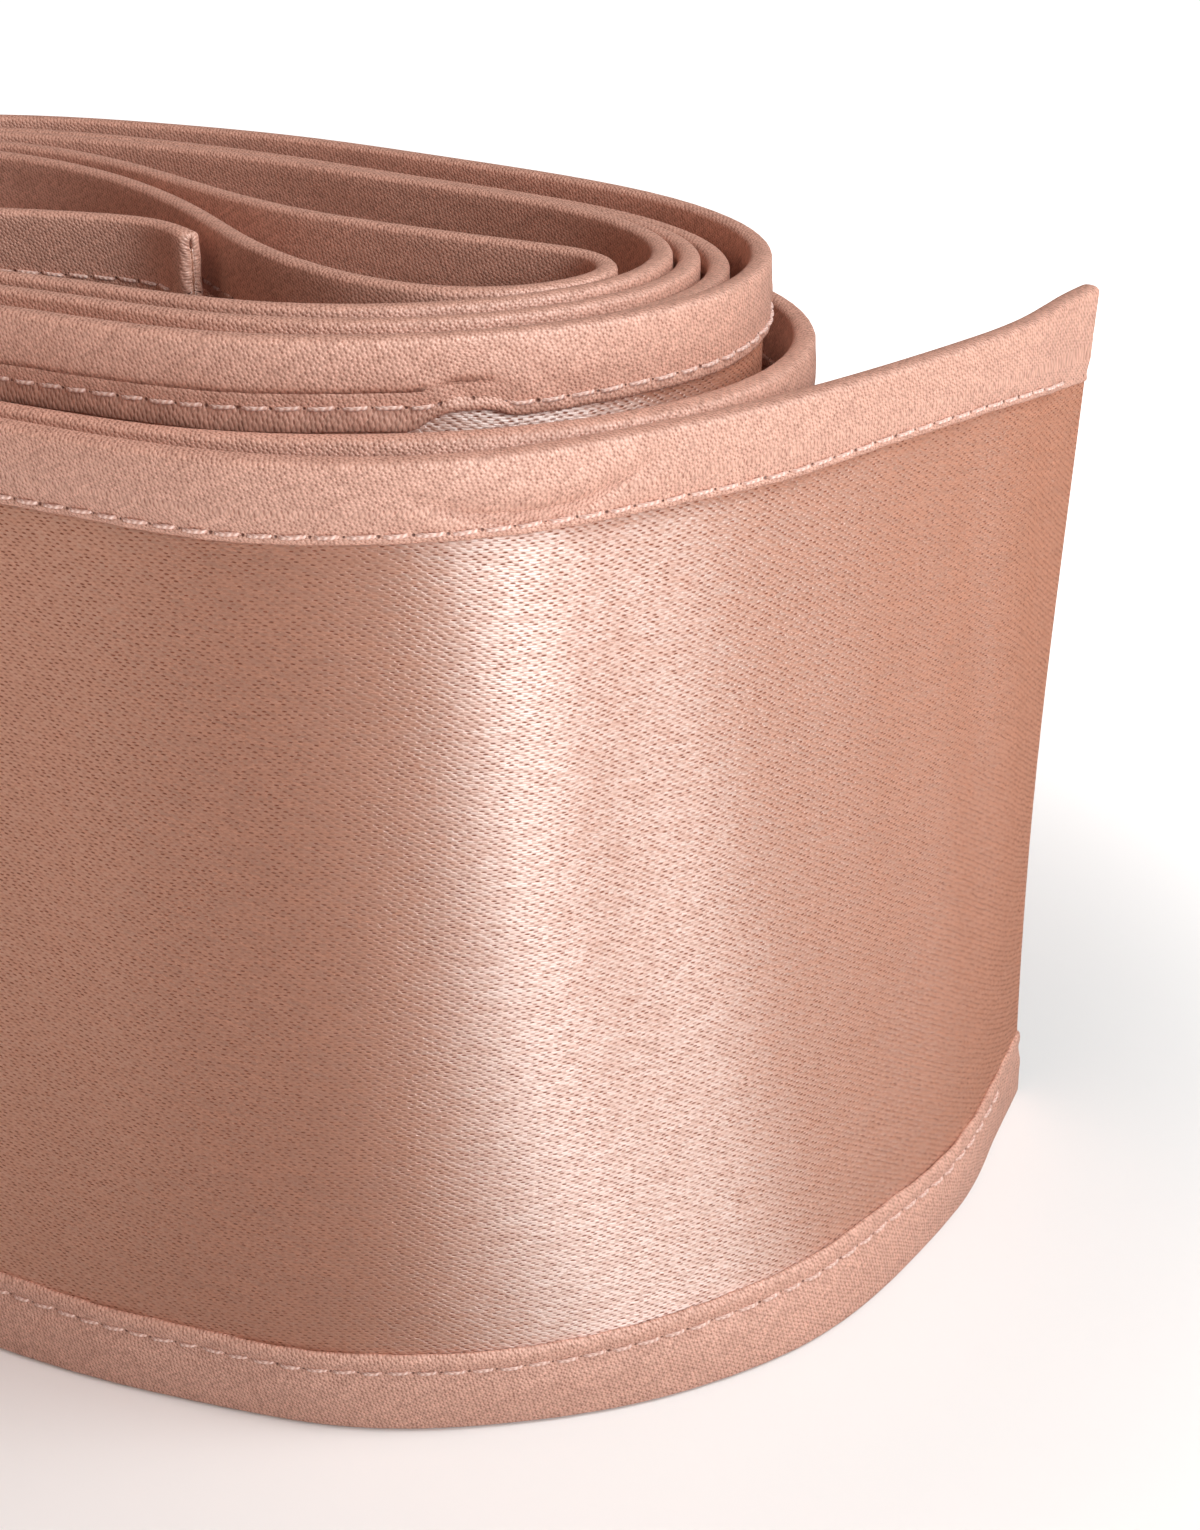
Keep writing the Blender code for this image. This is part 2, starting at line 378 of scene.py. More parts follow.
class BeltPath:
    """The whole strip's path from the free end to the inner end, as in the solids."""

    def __init__(self) -> None:
        """Joins the belt's tables into one curve."""
        parts = [
            self._fold_rows(FREE_END, 0.0),
            self._fold_rows([Fold(-OUTER_TURN[-1].radius, 0.0)], 0.0),
            self._turn_rows()[:-1],
            self._fold_rows(SIXTH_TURN, INNER_LIFT),
            self._fold_rows(INNER_END, INNER_LIFT),
        ]
        rows = np.vstack(parts)
        steps = np.linalg.norm(np.diff(rows[:, :2], axis=0), axis=1)
        at = np.concatenate([[0.0], np.cumsum(steps)])
        self.curve = Spline(at, rows)
        self.length = float(at[-1])

    @staticmethod
    def _fold_rows(folds: list[Fold], lift: float) -> np.ndarray:
        """Returns folds as rows of along, across, lean, slip, flare and lift."""
        return np.array([(*fold, lift) for fold in folds])

    @staticmethod
    def _turn_rows() -> np.ndarray:
        """Sets out the five full turns.

        Returns:
            The same rows as for folds, one at each angle of the outline.
        """
        rounds = [(row.angle + 360.0 * lap, row.radius) for lap in (-1, 0, 1) for row in OUTER_TURN]
        outline = np.array(sorted(rounds))
        radius = Spline(outline[:, 0], outline[:, 1:])
        laps = range(len(TURN_INSETS))
        end = 4.0 * len(TURN_INSETS)
        inset_at = np.array([4.0 * lap + place for lap in laps for place in INSET_PLACES] + [end])
        insets = [value for turn in TURN_INSETS for value in turn] + [INNER_START_INSET]
        inset = Spline(inset_at, np.array(insets)[:, None])
        lift_at = np.array([4.0 * lap + place for lap in laps for place in LIFT_PLACES] + [end])
        lifts = [value for turn in TURN_LIFTS for value in turn] + [INNER_LIFT]
        angles = np.array([row.angle for row in OUTER_TURN], dtype=float)

        def places(degrees: np.ndarray) -> np.ndarray:
            """Returns the outline's places at those angles."""
            turn = np.radians(degrees)
            return radius(degrees) * np.stack([np.cos(turn), np.sin(turn)], axis=-1)

        outward = left_of(unit(places(angles - HEADING_STEP) - places(angles + HEADING_STEP)))
        rows = []
        for lap in laps:
            quarter = 4.0 * lap + (180.0 - angles) / 90.0
            inside = places(angles) - inset(quarter) * outward
            upright = np.zeros((len(angles), 3))
            rows.append(np.column_stack([inside, upright, eased(lift_at, lifts, quarter)]))
        return np.vstack(rows)

    def stations(self) -> np.ndarray:
        """Spaces out the sections, closer together where the belt bends or is creased.

        Returns:
            Where the belt's sections stand.
        """
        where = np.append(np.arange(0.0, self.length, STATION_SEARCH), self.length)
        ahead = unit(np.gradient(self.curve(where)[:, :2], axis=0))
        heading = np.unwrap(np.arctan2(ahead[:, 1], ahead[:, 0]))
        ends = np.array([zone.end for zone in STATIONS])
        steps = np.array([zone.step for zone in STATIONS])[np.searchsorted(ends, where[:-1])]
        bend = np.abs(np.diff(heading)) / STATION_TURN
        cost = np.concatenate([[0.0], np.cumsum(np.maximum(np.diff(where) / steps, bend))])
        count = math.ceil(cost[-1])
        return np.interp(np.linspace(0.0, cost[-1], count + 1), cost, where)

    def flare(self, along: np.ndarray) -> np.ndarray:
        """Returns how much deeper the upper binding is at those places."""
        return self.curve(along)[:, 4]

    def points(self, along: np.ndarray, out: np.ndarray, down: np.ndarray) -> np.ndarray:
        """Places a strip's points in the frame.

        Args:
            along: How far along the belt each section stands.
            out: For each section, how far each point stands out from the cloth's middle.
            down: For each section, how far each point is below the upper edge.

        Returns:
            The points in metres, by section and by point.
        """
        rows = self.curve(along)
        before = self.curve(np.maximum(along - HEADING_REACH, 0.0))[:, :2]
        after = self.curve(np.minimum(along + HEADING_REACH, self.length))[:, :2]
        ahead = unit(after - before)
        outward = left_of(ahead)
        low = down / BELT_WIDTH
        late = smooth_step(*FOOT_FLARE_FROM, along)[:, None]
        turned = low + late * (np.clip(low, 0.0, None) ** FOOT_FLARE - low)
        reach = out + rows[:, 2, None] * turned
        flat = rows[:, None, :2] + outward[:, None, :] * reach[..., None]
        slip = rows[:, 3, None] * np.clip(low, 0.0, None) ** SLIP_BEND
        flat -= ahead[:, None, :] * slip[..., None]
        cos, sin = math.cos(ROLL_TURN), math.sin(ROLL_TURN)
        x = flat[..., 0] * cos - flat[..., 1] * sin + ROLL_CENTRE[0]
        y = flat[..., 0] * sin + flat[..., 1] * cos + ROLL_CENTRE[1]
        z = BELT_WIDTH - down + np.maximum(rows[:, 5], 0.0)[:, None]
        return np.stack([x, y, z], axis=-1) * MM


# Creases that both layers of satin follow, between the bindings
PANEL_CREASES = [
    Crease((18.5, 5.0), (11.5, 58.0), 0.0, 2.6, -0.45),
    Crease((9.5, 7.0), (6.5, 60.0), 0.0, 2.4, 0.3),
    Crease((118.0, 6.0), (112.5, 37.0), 2.0, 1.9, -0.24),
    Crease((151.0, 11.0), (147.0, 66.0), -1.5, 2.3, 0.2),
    Crease((176.5, 7.0), (169.0, 49.0), 1.2, 1.7, -0.28),
    Crease((209.0, 24.0), (214.5, 69.0), 0.0, 2.1, -0.22),
    Crease((247.0, 6.0), (240.0, 32.0), 1.6, 1.6, -0.26),
    Crease((263.0, 13.0), (258.5, 63.0), -1.0, 2.5, 0.22),
    Crease((301.0, 8.0), (297.0, 44.0), 2.2, 2.0, -0.2),
    Crease((338.5, 30.0), (345.0, 68.0), 0.0, 1.8, -0.25),
]

# Creases in the upper binding's own folded cloth, on the face that looks out of the roll
UPPER_OUTER_CREASES = [
    Crease((66.0, 1.9), (46.0, 0.4), 3.1, 0.42, -0.8),
    Crease((66.5, 1.6), (54.0, 3.6), 1.0, 0.2, -0.25),
    Crease((62.5, 1.4), (49.0, 0.6), 1.4, 0.7, 0.3),
    Crease((69.6, 0.7), (61.5, 3.6), 0.2, 0.4, -0.13),
    Crease((73.4, 1.6), (66.2, 4.3), 0.1, 0.4, -0.1),
    Crease((70.5, 0.35), (63.5, 0.5), 0.15, 0.35, 0.12),
    Crease((31.5, 0.9), (24.0, 3.7), 0.3, 0.45, -0.11),
    Crease((97.0, 1.2), (88.5, 3.9), 0.4, 0.45, -0.16),
    Crease((141.0, 1.6), (129.5, 1.0), 2.2, 0.45, -0.24),
    Crease((178.0, 0.8), (171.5, 3.6), 0.2, 0.4, -0.14),
    Crease((222.0, 1.9), (205.0, 0.7), 2.3, 0.5, -0.28),
    Crease((270.5, 1.1), (263.0, 3.9), 0.3, 0.45, -0.15),
    Crease((334.0, 1.5), (318.5, 0.6), 2.4, 0.45, -0.26),
    Crease((377.0, 0.9), (371.0, 3.5), 0.2, 0.4, -0.13),
    Crease((420.0, 1.7), (404.5, 0.9), 2.1, 0.5, -0.25),
    Crease((573.0, 0.8), (566.5, 3.4), 0.2, 0.4, -0.12),
    Crease((612.0, 1.0), (603.5, 3.3), 0.4, 0.4, -0.14),
]


def crease_rise(creases: list[Crease], along: np.ndarray, down: np.ndarray) -> np.ndarray:
    """Adds up what the creases lift each point of a strip.

    Args:
        creases: The creases.
        along: How far along the belt each section stands.
        down: For each section, how far each point is below the upper edge.

    Returns:
        How far each point moves out of the roll, by section and by point.
    """
    rise = np.zeros_like(down)
    steps = np.linspace(0.0, 1.0, 25)
    for crease in creases:
        reach = 3.0 * crease.width
        low = min(crease.start[0], crease.end[0]) - reach
        high = max(crease.start[0], crease.end[0]) + reach
        near = np.flatnonzero((along >= low) & (along <= high))
        if near.size == 0:
            continue
        line_along = crease.start[0] + (crease.end[0] - crease.start[0]) * steps
        line_down = crease.start[1] + (crease.end[1] - crease.start[1]) * steps
        line_down = line_down + crease.bow * 4.0 * steps * (1.0 - steps)
        apart = np.hypot(along[near, None, None] - line_along, down[near][..., None] - line_down)
        closest = apart.argmin(axis=-1)
        distance = np.take_along_axis(apart, closest[..., None], axis=-1)[..., 0]
        taper = np.sin(math.pi * np.clip(steps[closest], 0.02, 0.98)) ** 0.7
        rise[near] += crease.rise * taper * np.exp(-((distance / crease.width) ** 2))
    return rise


def soft_hand(along: np.ndarray, down: np.ndarray) -> np.ndarray:
    """Returns the slight unevenness of cloth that lies free between two bindings.

    Args:
        along: How far along the belt each section stands.
        down: For each section, how far each point is below the upper edge.

    Returns:
        How far each point moves out of the roll, by section and by point.
    """
    free = np.sin(math.pi * np.clip(down / BELT_WIDTH, 0.0, 1.0))
    place = along[:, None]
    wave = ripple(place, 0.10, 4.3, ripple(down, 0.35, 9.0))
    wave = wave + ripple(place, 0.07, 2.37, down / 21.0, 1.3)
    wave = wave + ripple(place, 0.06, 7.9, -down / 13.0, 0.6)
    return wave * free


def binding_hand(along: np.ndarray, down: np.ndarray, phase: float) -> np.ndarray:
    """Returns the small drags of a binding that was guided by hand, in millimetres.

    Args:
        along: How far along the belt each section stands.
        down: For each section, how far each point is from the binding's edge.
        phase: Where the drags begin.

    Returns:
        How far each point moves out of the roll, by section and by point.
    """
    along = along[:, None]
    wave = ripple(along + 1.3 * down, 0.035, 0.83, phase, ripple(along, 1.4, 9.1))
    wave = wave + ripple(along + 1.3 * down, 0.03, 0.51, 1.7 * phase, ripple(along, 2.0, 6.3))
    wave = wave + ripple(along - 0.7 * down, 0.05, 2.3, 0.9 * phase)
    return wave * np.clip(down / 2.5, 0.0, 1.0)


def wander(along: np.ndarray, phase: float) -> np.ndarray:
    """Returns a hand-guided seam's slight wander at those places, in millimetres."""
    wave = ripple(along, 0.07, 5.7, phase) + ripple(along, 0.05, 2.9, 2.1 * phase)
    return wave + ripple(along, 0.04, 13.0, 0.7 * phase)


def linear(code: str) -> tuple[float, float, float, float]:
    """Turns an sRGB colour into linear values.

    Args:
        code: The colour as six hex digits.

    Returns:
        Red, green, blue and an alpha of one.
    """
    values = [int(code[i : i + 2], 16) / 255.0 for i in (0, 2, 4)]
    red, green, blue = (v / 12.92 if v <= 0.04045 else ((v + 0.055) / 1.055) ** 2.4 for v in values)
    return red, green, blue, 1.0


def add_node(
    tree: Tree,
    kind: str,
    inputs: dict[str | int, object] | None = None,
    **settings: object,
) -> bpy.types.Node:
    """Adds one node with its settings and links.

    Args:
        tree: The material's node tree.
        kind: The node's type.
        inputs: For each input, an output to link to it or a value to set on it.
        settings: The node's own properties.

    Returns:
        The new node.
    """
    made = tree.nodes.new(kind)
    for name, value in settings.items():
        setattr(made, name, value)
    for name, value in (inputs or {}).items():
        if isinstance(value, Socket):
            tree.links.new(value, made.inputs[name])
        else:
            made.inputs[name].default_value = value
    return made


def calculate(tree: Tree, operation: str, *values: object, clamped: bool = False) -> Socket:
    """Adds a sum.

    Args:
        tree: The material's node tree.
        operation: What it works out.
        values: Up to three values or outputs.
        clamped: Whether its result is kept between 0 and 1.

    Returns:
        The result.
    """
    made = add_node(
        tree, "ShaderNodeMath", dict(enumerate(values)), operation=operation, use_clamp=clamped
    )
    return made.outputs[0]


def length_of(tree: Tree, vector: Socket) -> Socket:
    """Returns a vector's length."""
    made = add_node(tree, "ShaderNodeVectorMath", {0: vector}, operation="LENGTH")
    return made.outputs["Value"]


def shaded(tree: Tree, colour: Socket, tone: Socket) -> Socket:
    """Returns a colour made lighter or darker."""
    inputs = {0: colour, "Scale": tone}
    return add_node(tree, "ShaderNodeVectorMath", inputs, operation="SCALE").outputs["Vector"]


def blend(tree: Tree, share: Socket, first: object, second: object) -> Socket:
    """Returns the first colour where share is 0, and the second where it is 1."""
    inputs = {0: share, 6: first, 7: second}
    return add_node(tree, "ShaderNodeMix", inputs, data_type="RGBA").outputs[2]


def fall(tree: Tree, value: Socket, near: object, far: object) -> Socket:
    """Adds a soft fall from 1 to 0.

    Args:
        tree: The material's node tree.
        value: What is read.
        near: Up to where the result is 1.
        far: From where it is 0.

    Returns:
        The result.
    """
    inputs = {"Value": value, "From Min": near, "From Max": far, "To Min": 1.0, "To Max": 0.0}
    made = add_node(tree, "ShaderNodeMapRange", inputs, interpolation_type="SMOOTHSTEP")
    return made.outputs["Result"]


def bump(tree: Tree, height: Socket, distance: float) -> Socket:
    """Returns the normals of a height, whose value of one stands that far out, in metres."""
    inputs = {"Height": height, "Distance": distance, "Strength": 1.0}
    return add_node(tree, "ShaderNodeBump", inputs).outputs["Normal"]


def read_map(tree: Tree, layer: str) -> Socket:
    """Returns one of the piece's own maps."""
    return add_node(tree, "ShaderNodeUVMap", uv_map=layer).outputs["UV"]


def new_material(name: str) -> bpy.types.Material:
    """Makes a material with nothing in its node tree.

    Args:
        name: Its name.

    Returns:
        The material.
    """
    material = bpy.data.materials.new(name)
    material.use_nodes = True
    material.node_tree.nodes.clear()
    return material


def add_surface(tree: Tree, inputs: dict[str, object]) -> None:
    """Gives a material its surface.

    Args:
        tree: The material's node tree.
        inputs: What the surface's inputs are set or linked to.
    """
    shader = add_node(tree, "ShaderNodeBsdfPrincipled", inputs).outputs["BSDF"]
    add_node(tree, "ShaderNodeOutputMaterial", {"Surface": shader})


@dataclass(frozen=True)
class SatinWeave:
    """A satin of eight: each thread floats over seven and goes under the eighth. In millimetres.

    Attributes:
        pitch: From one floating thread to the next.
        repeat: From one place where a thread goes under to the next, along it.
        shift: How far along the repeat that place moves from thread to thread.
        pairing: How much further it moves on every second thread.
        dip_length: Half the length of the hollow where it goes under.
        dip_width: Half the width of that hollow.
        dip_slope: How much the hollow slants across its thread.
        crown: How far a thread's middle stands above the gap beside it.
        dip: How far down it goes.
        bow: How far a float's middle stands above its ends.
        jitter: How far a hollow strays along its thread.
        stray: How far threads stray to each side of their line.
        glint: How much more the gloss differs from float to float than the colour does.
        gap_painted_shade: How much painted shade darkens the gap between two threads.
        luck: How much lighter one float is than another.
    """

    pitch: float = 0.1555
    repeat: float = 1.01
    shift: float = 0.3507
    pairing: float = 0.0
    dip_length: float = 0.21
    dip_width: float = 0.062
    dip_slope: float = 0.06
    crown: float = 0.014
    dip: float = 0.045
    bow: float = 0.006
    jitter: float = 0.24
    stray: float = 0.25
    glint: float = 0.3
    gap_painted_shade: float = 0.2
    luck: float = 0.26


@dataclass(frozen=True)
class SatinFinish:
    """Polyester satin, woven and calendered: a glossy float side with dull dots between.

    Attributes:
        name: The material's name.
        float_colour: The floating threads, as sRGB hex.
        dip_colour_and_shade: The hollows, as sRGB hex: the weave's own mark and painted shade.
        cut: How far its lines of floats are turned from the belt's length, in degrees.
        grain: How far the direction of its gloss is turned.
        roughness: The spread of its gloss.
        anisotropy: How much more it spreads across the threads than along them.
        gloss: Its index of refraction, raised because every filament shines.
        gloss_colour: The tint that the dyed filaments give its gloss, as sRGB hex.
        sheen: The strength of its fuzz.
        dip_share: How strongly the dips show.
        needle_holes: Whether a topstitch goes through it.
    """

    name: str
    float_colour: str
    dip_colour_and_shade: str
    cut: float
    grain: float
    roughness: float
    anisotropy: float
    gloss: float
    gloss_colour: str
    sheen: float
    dip_share: float
    needle_holes: bool
    weave: SatinWeave = field(default_factory=SatinWeave)

    # How steeply a thread falls away to its gaps, and where a hollow's rim begins and ends
    ROUNDNESS = 2.2
    DIP_RIM = (0.4, 1.15)

    # How much luck a hollow's depth has and its least depth, and how much duller it is
    DIP_LUCK = (0.6, 0.5)
    DIP_DULLNESS = 0.2

    # The fine streaks along the threads: how close they lie, how strong they are and on what
    STREAK_SCALE = (0.08, 3.2, 1.0)
    STREAK_TONE = 0.3
    PLAIN_TONE = 0.93
    FUZZ_COLOUR = "ffe3d6"

    # A needle hole in millimetres: its floor, its rim's luck and least radius, and its depth
    HOLE_RADIUS = 0.04
    HOLE_LUCK = (0.12, 0.08)
    HOLE_DEPTH = 0.12
    # The colour of the shade painted into each hole
    HOLE_PAINTED_SHADE = "6b3a2c"

    def material(self) -> bpy.types.Material:
        """Weaves the finish out of the cloth's own map, in millimetres.

        Returns:
            The material.
        """
        material = new_material(self.name)
        tree = material.node_tree
        weave = self.weave
        inputs = {
            "Vector": read_map(tree, CLOTH_UV),
            "Rotation": (0.0, 0.0, math.radians(self.cut)),
        }
        turned = add_node(tree, "ShaderNodeMapping", inputs).outputs["Vector"]

        # Threads stray a little from their line, over a few millimetres
        inputs = {"Vector": turned, "Scale": 0.45, "Detail": 1.0}
        stray = add_node(tree, "ShaderNodeTexNoise", inputs).outputs["Color"]
        inputs = {0: stray, 1: (weave.stray, weave.stray, 0.0), 2: turned}
        strayed = add_node(tree, "ShaderNodeVectorMath", inputs, operation="MULTIPLY_ADD")
        strayed = strayed.outputs["Vector"]
        split = add_node(tree, "ShaderNodeSeparateXYZ", {"Vector": strayed})

        # Which thread this is, and how far to the side of its middle, from -1 to 1
        threads = calculate(tree, "DIVIDE", split.outputs["Y"], weave.pitch)
        thread = calculate(tree, "FLOOR", threads)
        side = calculate(tree, "FRACT", threads)
        side = calculate(tree, "MULTIPLY_ADD", side, 2.0, -1.0)
        gap = calculate(tree, "ABSOLUTE", side)
        gap = calculate(tree, "POWER", gap, self.ROUNDNESS)

        # Which of its floats, each with luck of its own, and how far from where it goes under
        repeats = calculate(tree, "DIVIDE", split.outputs["X"], weave.repeat)
        repeats = calculate(tree, "MULTIPLY_ADD", thread, weave.shift, repeats)
        second = calculate(tree, "FLOORED_MODULO", thread, 2.0)
        repeats = calculate(tree, "MULTIPLY_ADD", second, weave.pairing, repeats)
        turn = calculate(tree, "FLOOR", repeats)
        own = add_node(tree, "ShaderNodeCombineXYZ", {"X": turn, "Y": thread}).outputs["Vector"]
        luck = add_node(tree, "ShaderNodeTexWhiteNoise", {"Vector": own}, noise_dimensions="2D")
        luck = add_node(tree, "ShaderNodeSeparateColor", {"Color": luck.outputs["Color"]})
        place = calculate(tree, "FRACT", repeats)
        middle = -0.5 * (weave.repeat + weave.jitter)
        place = calculate(tree, "MULTIPLY_ADD", place, weave.repeat, middle)
        place = calculate(tree, "MULTIPLY_ADD", luck.outputs["Red"], weave.jitter, place)
        aside = calculate(tree, "MULTIPLY", side, 0.5 * weave.pitch)
        aside = calculate(tree, "MULTIPLY_ADD", place, -weave.dip_slope, aside)
        inputs = {
            "X": calculate(tree, "DIVIDE", place, weave.dip_length),
            "Y": calculate(tree, "DIVIDE", aside, weave.dip_width),
        }
        hollow = add_node(tree, "ShaderNodeCombineXYZ", inputs).outputs["Vector"]
        dip = fall(tree, length_of(tree, hollow), *self.DIP_RIM)
        depth = calculate(tree, "MULTIPLY_ADD", luck.outputs["Green"], *self.DIP_LUCK)
        dip = calculate(tree, "MULTIPLY", dip, depth)

        # Each float takes the light a little differently, and so does each thread's whole length
        inputs = {"Vector": strayed, "Scale": self.STREAK_SCALE}
        streaked = add_node(tree, "ShaderNodeMapping", inputs).outputs["Vector"]
        inputs = {"Vector": streaked, "Scale": 1.0, "Detail": 2.0}
        streak = add_node(tree, "ShaderNodeTexNoise", inputs).outputs[0]
        own = luck.outputs["Blue"]
        plain = self.PLAIN_TONE - 0.5 * weave.luck
        tone = calculate(tree, "MULTIPLY_ADD", own, weave.luck, plain)
        tone = calculate(tree, "MULTIPLY_ADD", streak, self.STREAK_TONE, tone)
        # Painted shade darkens the gap between two threads
        tone = calculate(tree, "MULTIPLY_ADD", gap, -weave.gap_painted_shade, tone)
        # Hollows: the weave's own mark plus painted shade, in the colour and the gloss tint
        dip_mark_and_shade = calculate(tree, "MULTIPLY", dip, self.dip_share, clamped=True)
        coloured = blend(tree, dip_mark_and_shade, linear(self.float_colour), linear(self.dip_colour_and_shade))
        coloured = shaded(tree, coloured, tone)
        glossed = blend(tree, dip_mark_and_shade, linear(self.gloss_colour), linear(self.dip_colour_and_shade))
        glint = calculate(tree, "MULTIPLY_ADD", own, weave.glint, -0.5 * weave.glint)
        glint = calculate(tree, "ADD", glint, tone)
        glossed = shaded(tree, glossed, glint)

        # In millimetres: a thread falls away to the gap beside it, and goes under at the hollow
        height = calculate(tree, "MULTIPLY", gap, -weave.crown)
        height = calculate(tree, "MULTIPLY_ADD", dip, -weave.dip, height)
        bowed = calculate(tree, "MULTIPLY", place, 2.0 * math.pi / weave.repeat)
        bowed = calculate(tree, "COSINE", bowed)
        height = calculate(tree, "MULTIPLY_ADD", bowed, -0.5 * weave.bow, height)
        if self.needle_holes:
            coloured, height = self._pierced(tree, coloured, height)

        normal = bump(tree, height, MM)
        dull = min(1.0, self.roughness + self.DIP_DULLNESS)
        inputs = {"Value": dip, "To Min": self.roughness, "To Max": dull}
        rough = add_node(tree, "ShaderNodeMapRange", inputs).outputs["Result"]
        tangent = add_node(tree, "ShaderNodeTangent", direction_type="UV_MAP", uv_map=CLOTH_UV)
        add_surface(
            tree,
            {
                "Base Color": coloured,
                "Roughness": rough,
                "Normal": normal,
                "Tangent": tangent.outputs["Tangent"],
                "IOR": self.gloss,
                "Specular Tint": glossed,
                "Anisotropic": self.anisotropy,
                "Anisotropic Rotation": (0.25 - self.grain / 360.0) % 1.0,
                "Sheen Weight": self.sheen,
                "Sheen Roughness": 0.4,
                "Sheen Tint": linear(self.FUZZ_COLOUR),
            },
        )
        return material

    def _pierced(
        self,
        tree: Tree,
        coloured: Socket,
        height: Socket,
    ) -> tuple[Socket, Socket]:
        """Sinks the cloth at each needle hole of the topstitch, and paints shade into the hole.

        Args:
            tree: The material's node tree.
            coloured: The cloth's colour so far.
            height: The cloth's height so far, in millimetres.

        Returns:
            The colour with each hole's painted shade, and the height with the holes.
        """
        split = add_node(tree, "ShaderNodeSeparateXYZ", {"Vector": read_map(tree, SEAM_UV)})
        place = calculate(tree, "FRACT", split.outputs["X"])
        place = calculate(tree, "MULTIPLY_ADD", place, STITCH_PITCH, -0.5 * STITCH_PITCH)
        inputs = {"X": place, "Y": split.outputs["Y"]}
        offset = add_node(tree, "ShaderNodeCombineXYZ", inputs).outputs["Vector"]
        distance = length_of(tree, offset)
        which = calculate(tree, "FLOOR", split.outputs["X"])
        luck = add_node(tree, "ShaderNodeTexWhiteNoise", {"W": which}, noise_dimensions="1D")
        rim = calculate(tree, "MULTIPLY_ADD", luck.outputs["Value"], *self.HOLE_LUCK)
        hole = fall(tree, distance, self.HOLE_RADIUS, rim)
        # The hole's darkness is painted shade, put into the colour here
        coloured = blend(tree, hole, coloured, linear(self.HOLE_PAINTED_SHADE))
        return coloured, calculate(tree, "MULTIPLY_ADD", hole, -self.HOLE_DEPTH, height)


@dataclass(frozen=True)
class ThreadFinish:
    """Spun polyester sewing thread, two plies twisted: matt, a little lighter than the cloth.

    Attributes:
        name: The material's name.
        colour: The plies, as sRGB hex.
        hollow_painted_shade: The shade painted into the groove between them, as sRGB hex.
        twist: How far along the thread a ply goes once round, in millimetres.
        groove: How deep the groove is, in millimetres.
    """

    name: str = "peach_sewing_thread"
    colour: str = "f0cfc3"
    hollow_painted_shade: str = "cf9f8e"
    twist: float = 0.42
    groove: float = 0.04

    def material(self) -> bpy.types.Material:
        """Twists the thread's plies out of its own map: along, and round it.

        Returns:
            The material.
        """
        material = new_material(self.name)
        tree = material.node_tree
        split = add_node(tree, "ShaderNodeSeparateXYZ", {"Vector": read_map(tree, CLOTH_UV)})
        along, around = split.outputs["X"], split.outputs["Y"]
        turns = calculate(tree, "MULTIPLY_ADD", along, 1.0 / self.twist, around)
        ply = calculate(tree, "MULTIPLY", turns, 2.0 * math.pi)
        ply = calculate(tree, "SINE", ply)
        ply = calculate(tree, "MULTIPLY_ADD", ply, 0.5, 0.5)
        # The groove between the plies is darkened with painted shade
        coloured = blend(tree, ply, linear(self.hollow_painted_shade), linear(self.colour))
        add_surface(
            tree,
            {
                "Base Color": coloured,
                "Roughness": 0.6,
                "Normal": bump(tree, ply, self.groove * MM),
                "Sheen Weight": 0.3,
                "Sheen Roughness": 0.5,
            },
        )
        return material


SATIN = SatinFinish(
    name="rose_polyester_satin",
    float_colour="d89477",
    dip_colour_and_shade="7a4634",
    cut=8.7,
    grain=-3.0,
    roughness=0.46,
    anisotropy=0.95,
    gloss=5.8,
    gloss_colour="fff8f3",
    sheen=0.03,
    dip_share=1.0,
    needle_holes=False,
)
BIAS = SatinFinish(
    name="rose_bias_cut_satin",
    float_colour="d4a18d",
    dip_colour_and_shade="7c4130",
    cut=-29.5,
    grain=45.0,
    roughness=0.5,
    anisotropy=0.0,
    gloss=1.9,
    gloss_colour="fffaf7",
    sheen=0.05,
    dip_share=0.6,
    needle_holes=True,
    weave=SatinWeave(
        pitch=0.19,
        repeat=0.329,
        shift=-0.1786,
        pairing=-0.25,
        dip_length=0.085,
        dip_width=0.1,
        dip_slope=0.0,
        crown=0.018,
        dip=0.032,
        bow=0.012,
        jitter=0.07,
        stray=0.3,
        glint=0.5,
        gap_painted_shade=0.2,
        luck=0.3,
    ),
)
THREAD = ThreadFinish()


def write_map(mesh: bpy.types.Mesh, uv: bpy.types.MeshUVLoopLayer, values: np.ndarray) -> None:
    """Fills one of a mesh's maps.

    Args:
        mesh: The mesh.
        uv: The map.
        values: Two coordinates for each vertex.
    """
    corner = np.zeros(len(mesh.loops), dtype=np.int32)
    mesh.loops.foreach_get("vertex_index", corner)
    uv.data.foreach_set("uv", values[corner].ravel())


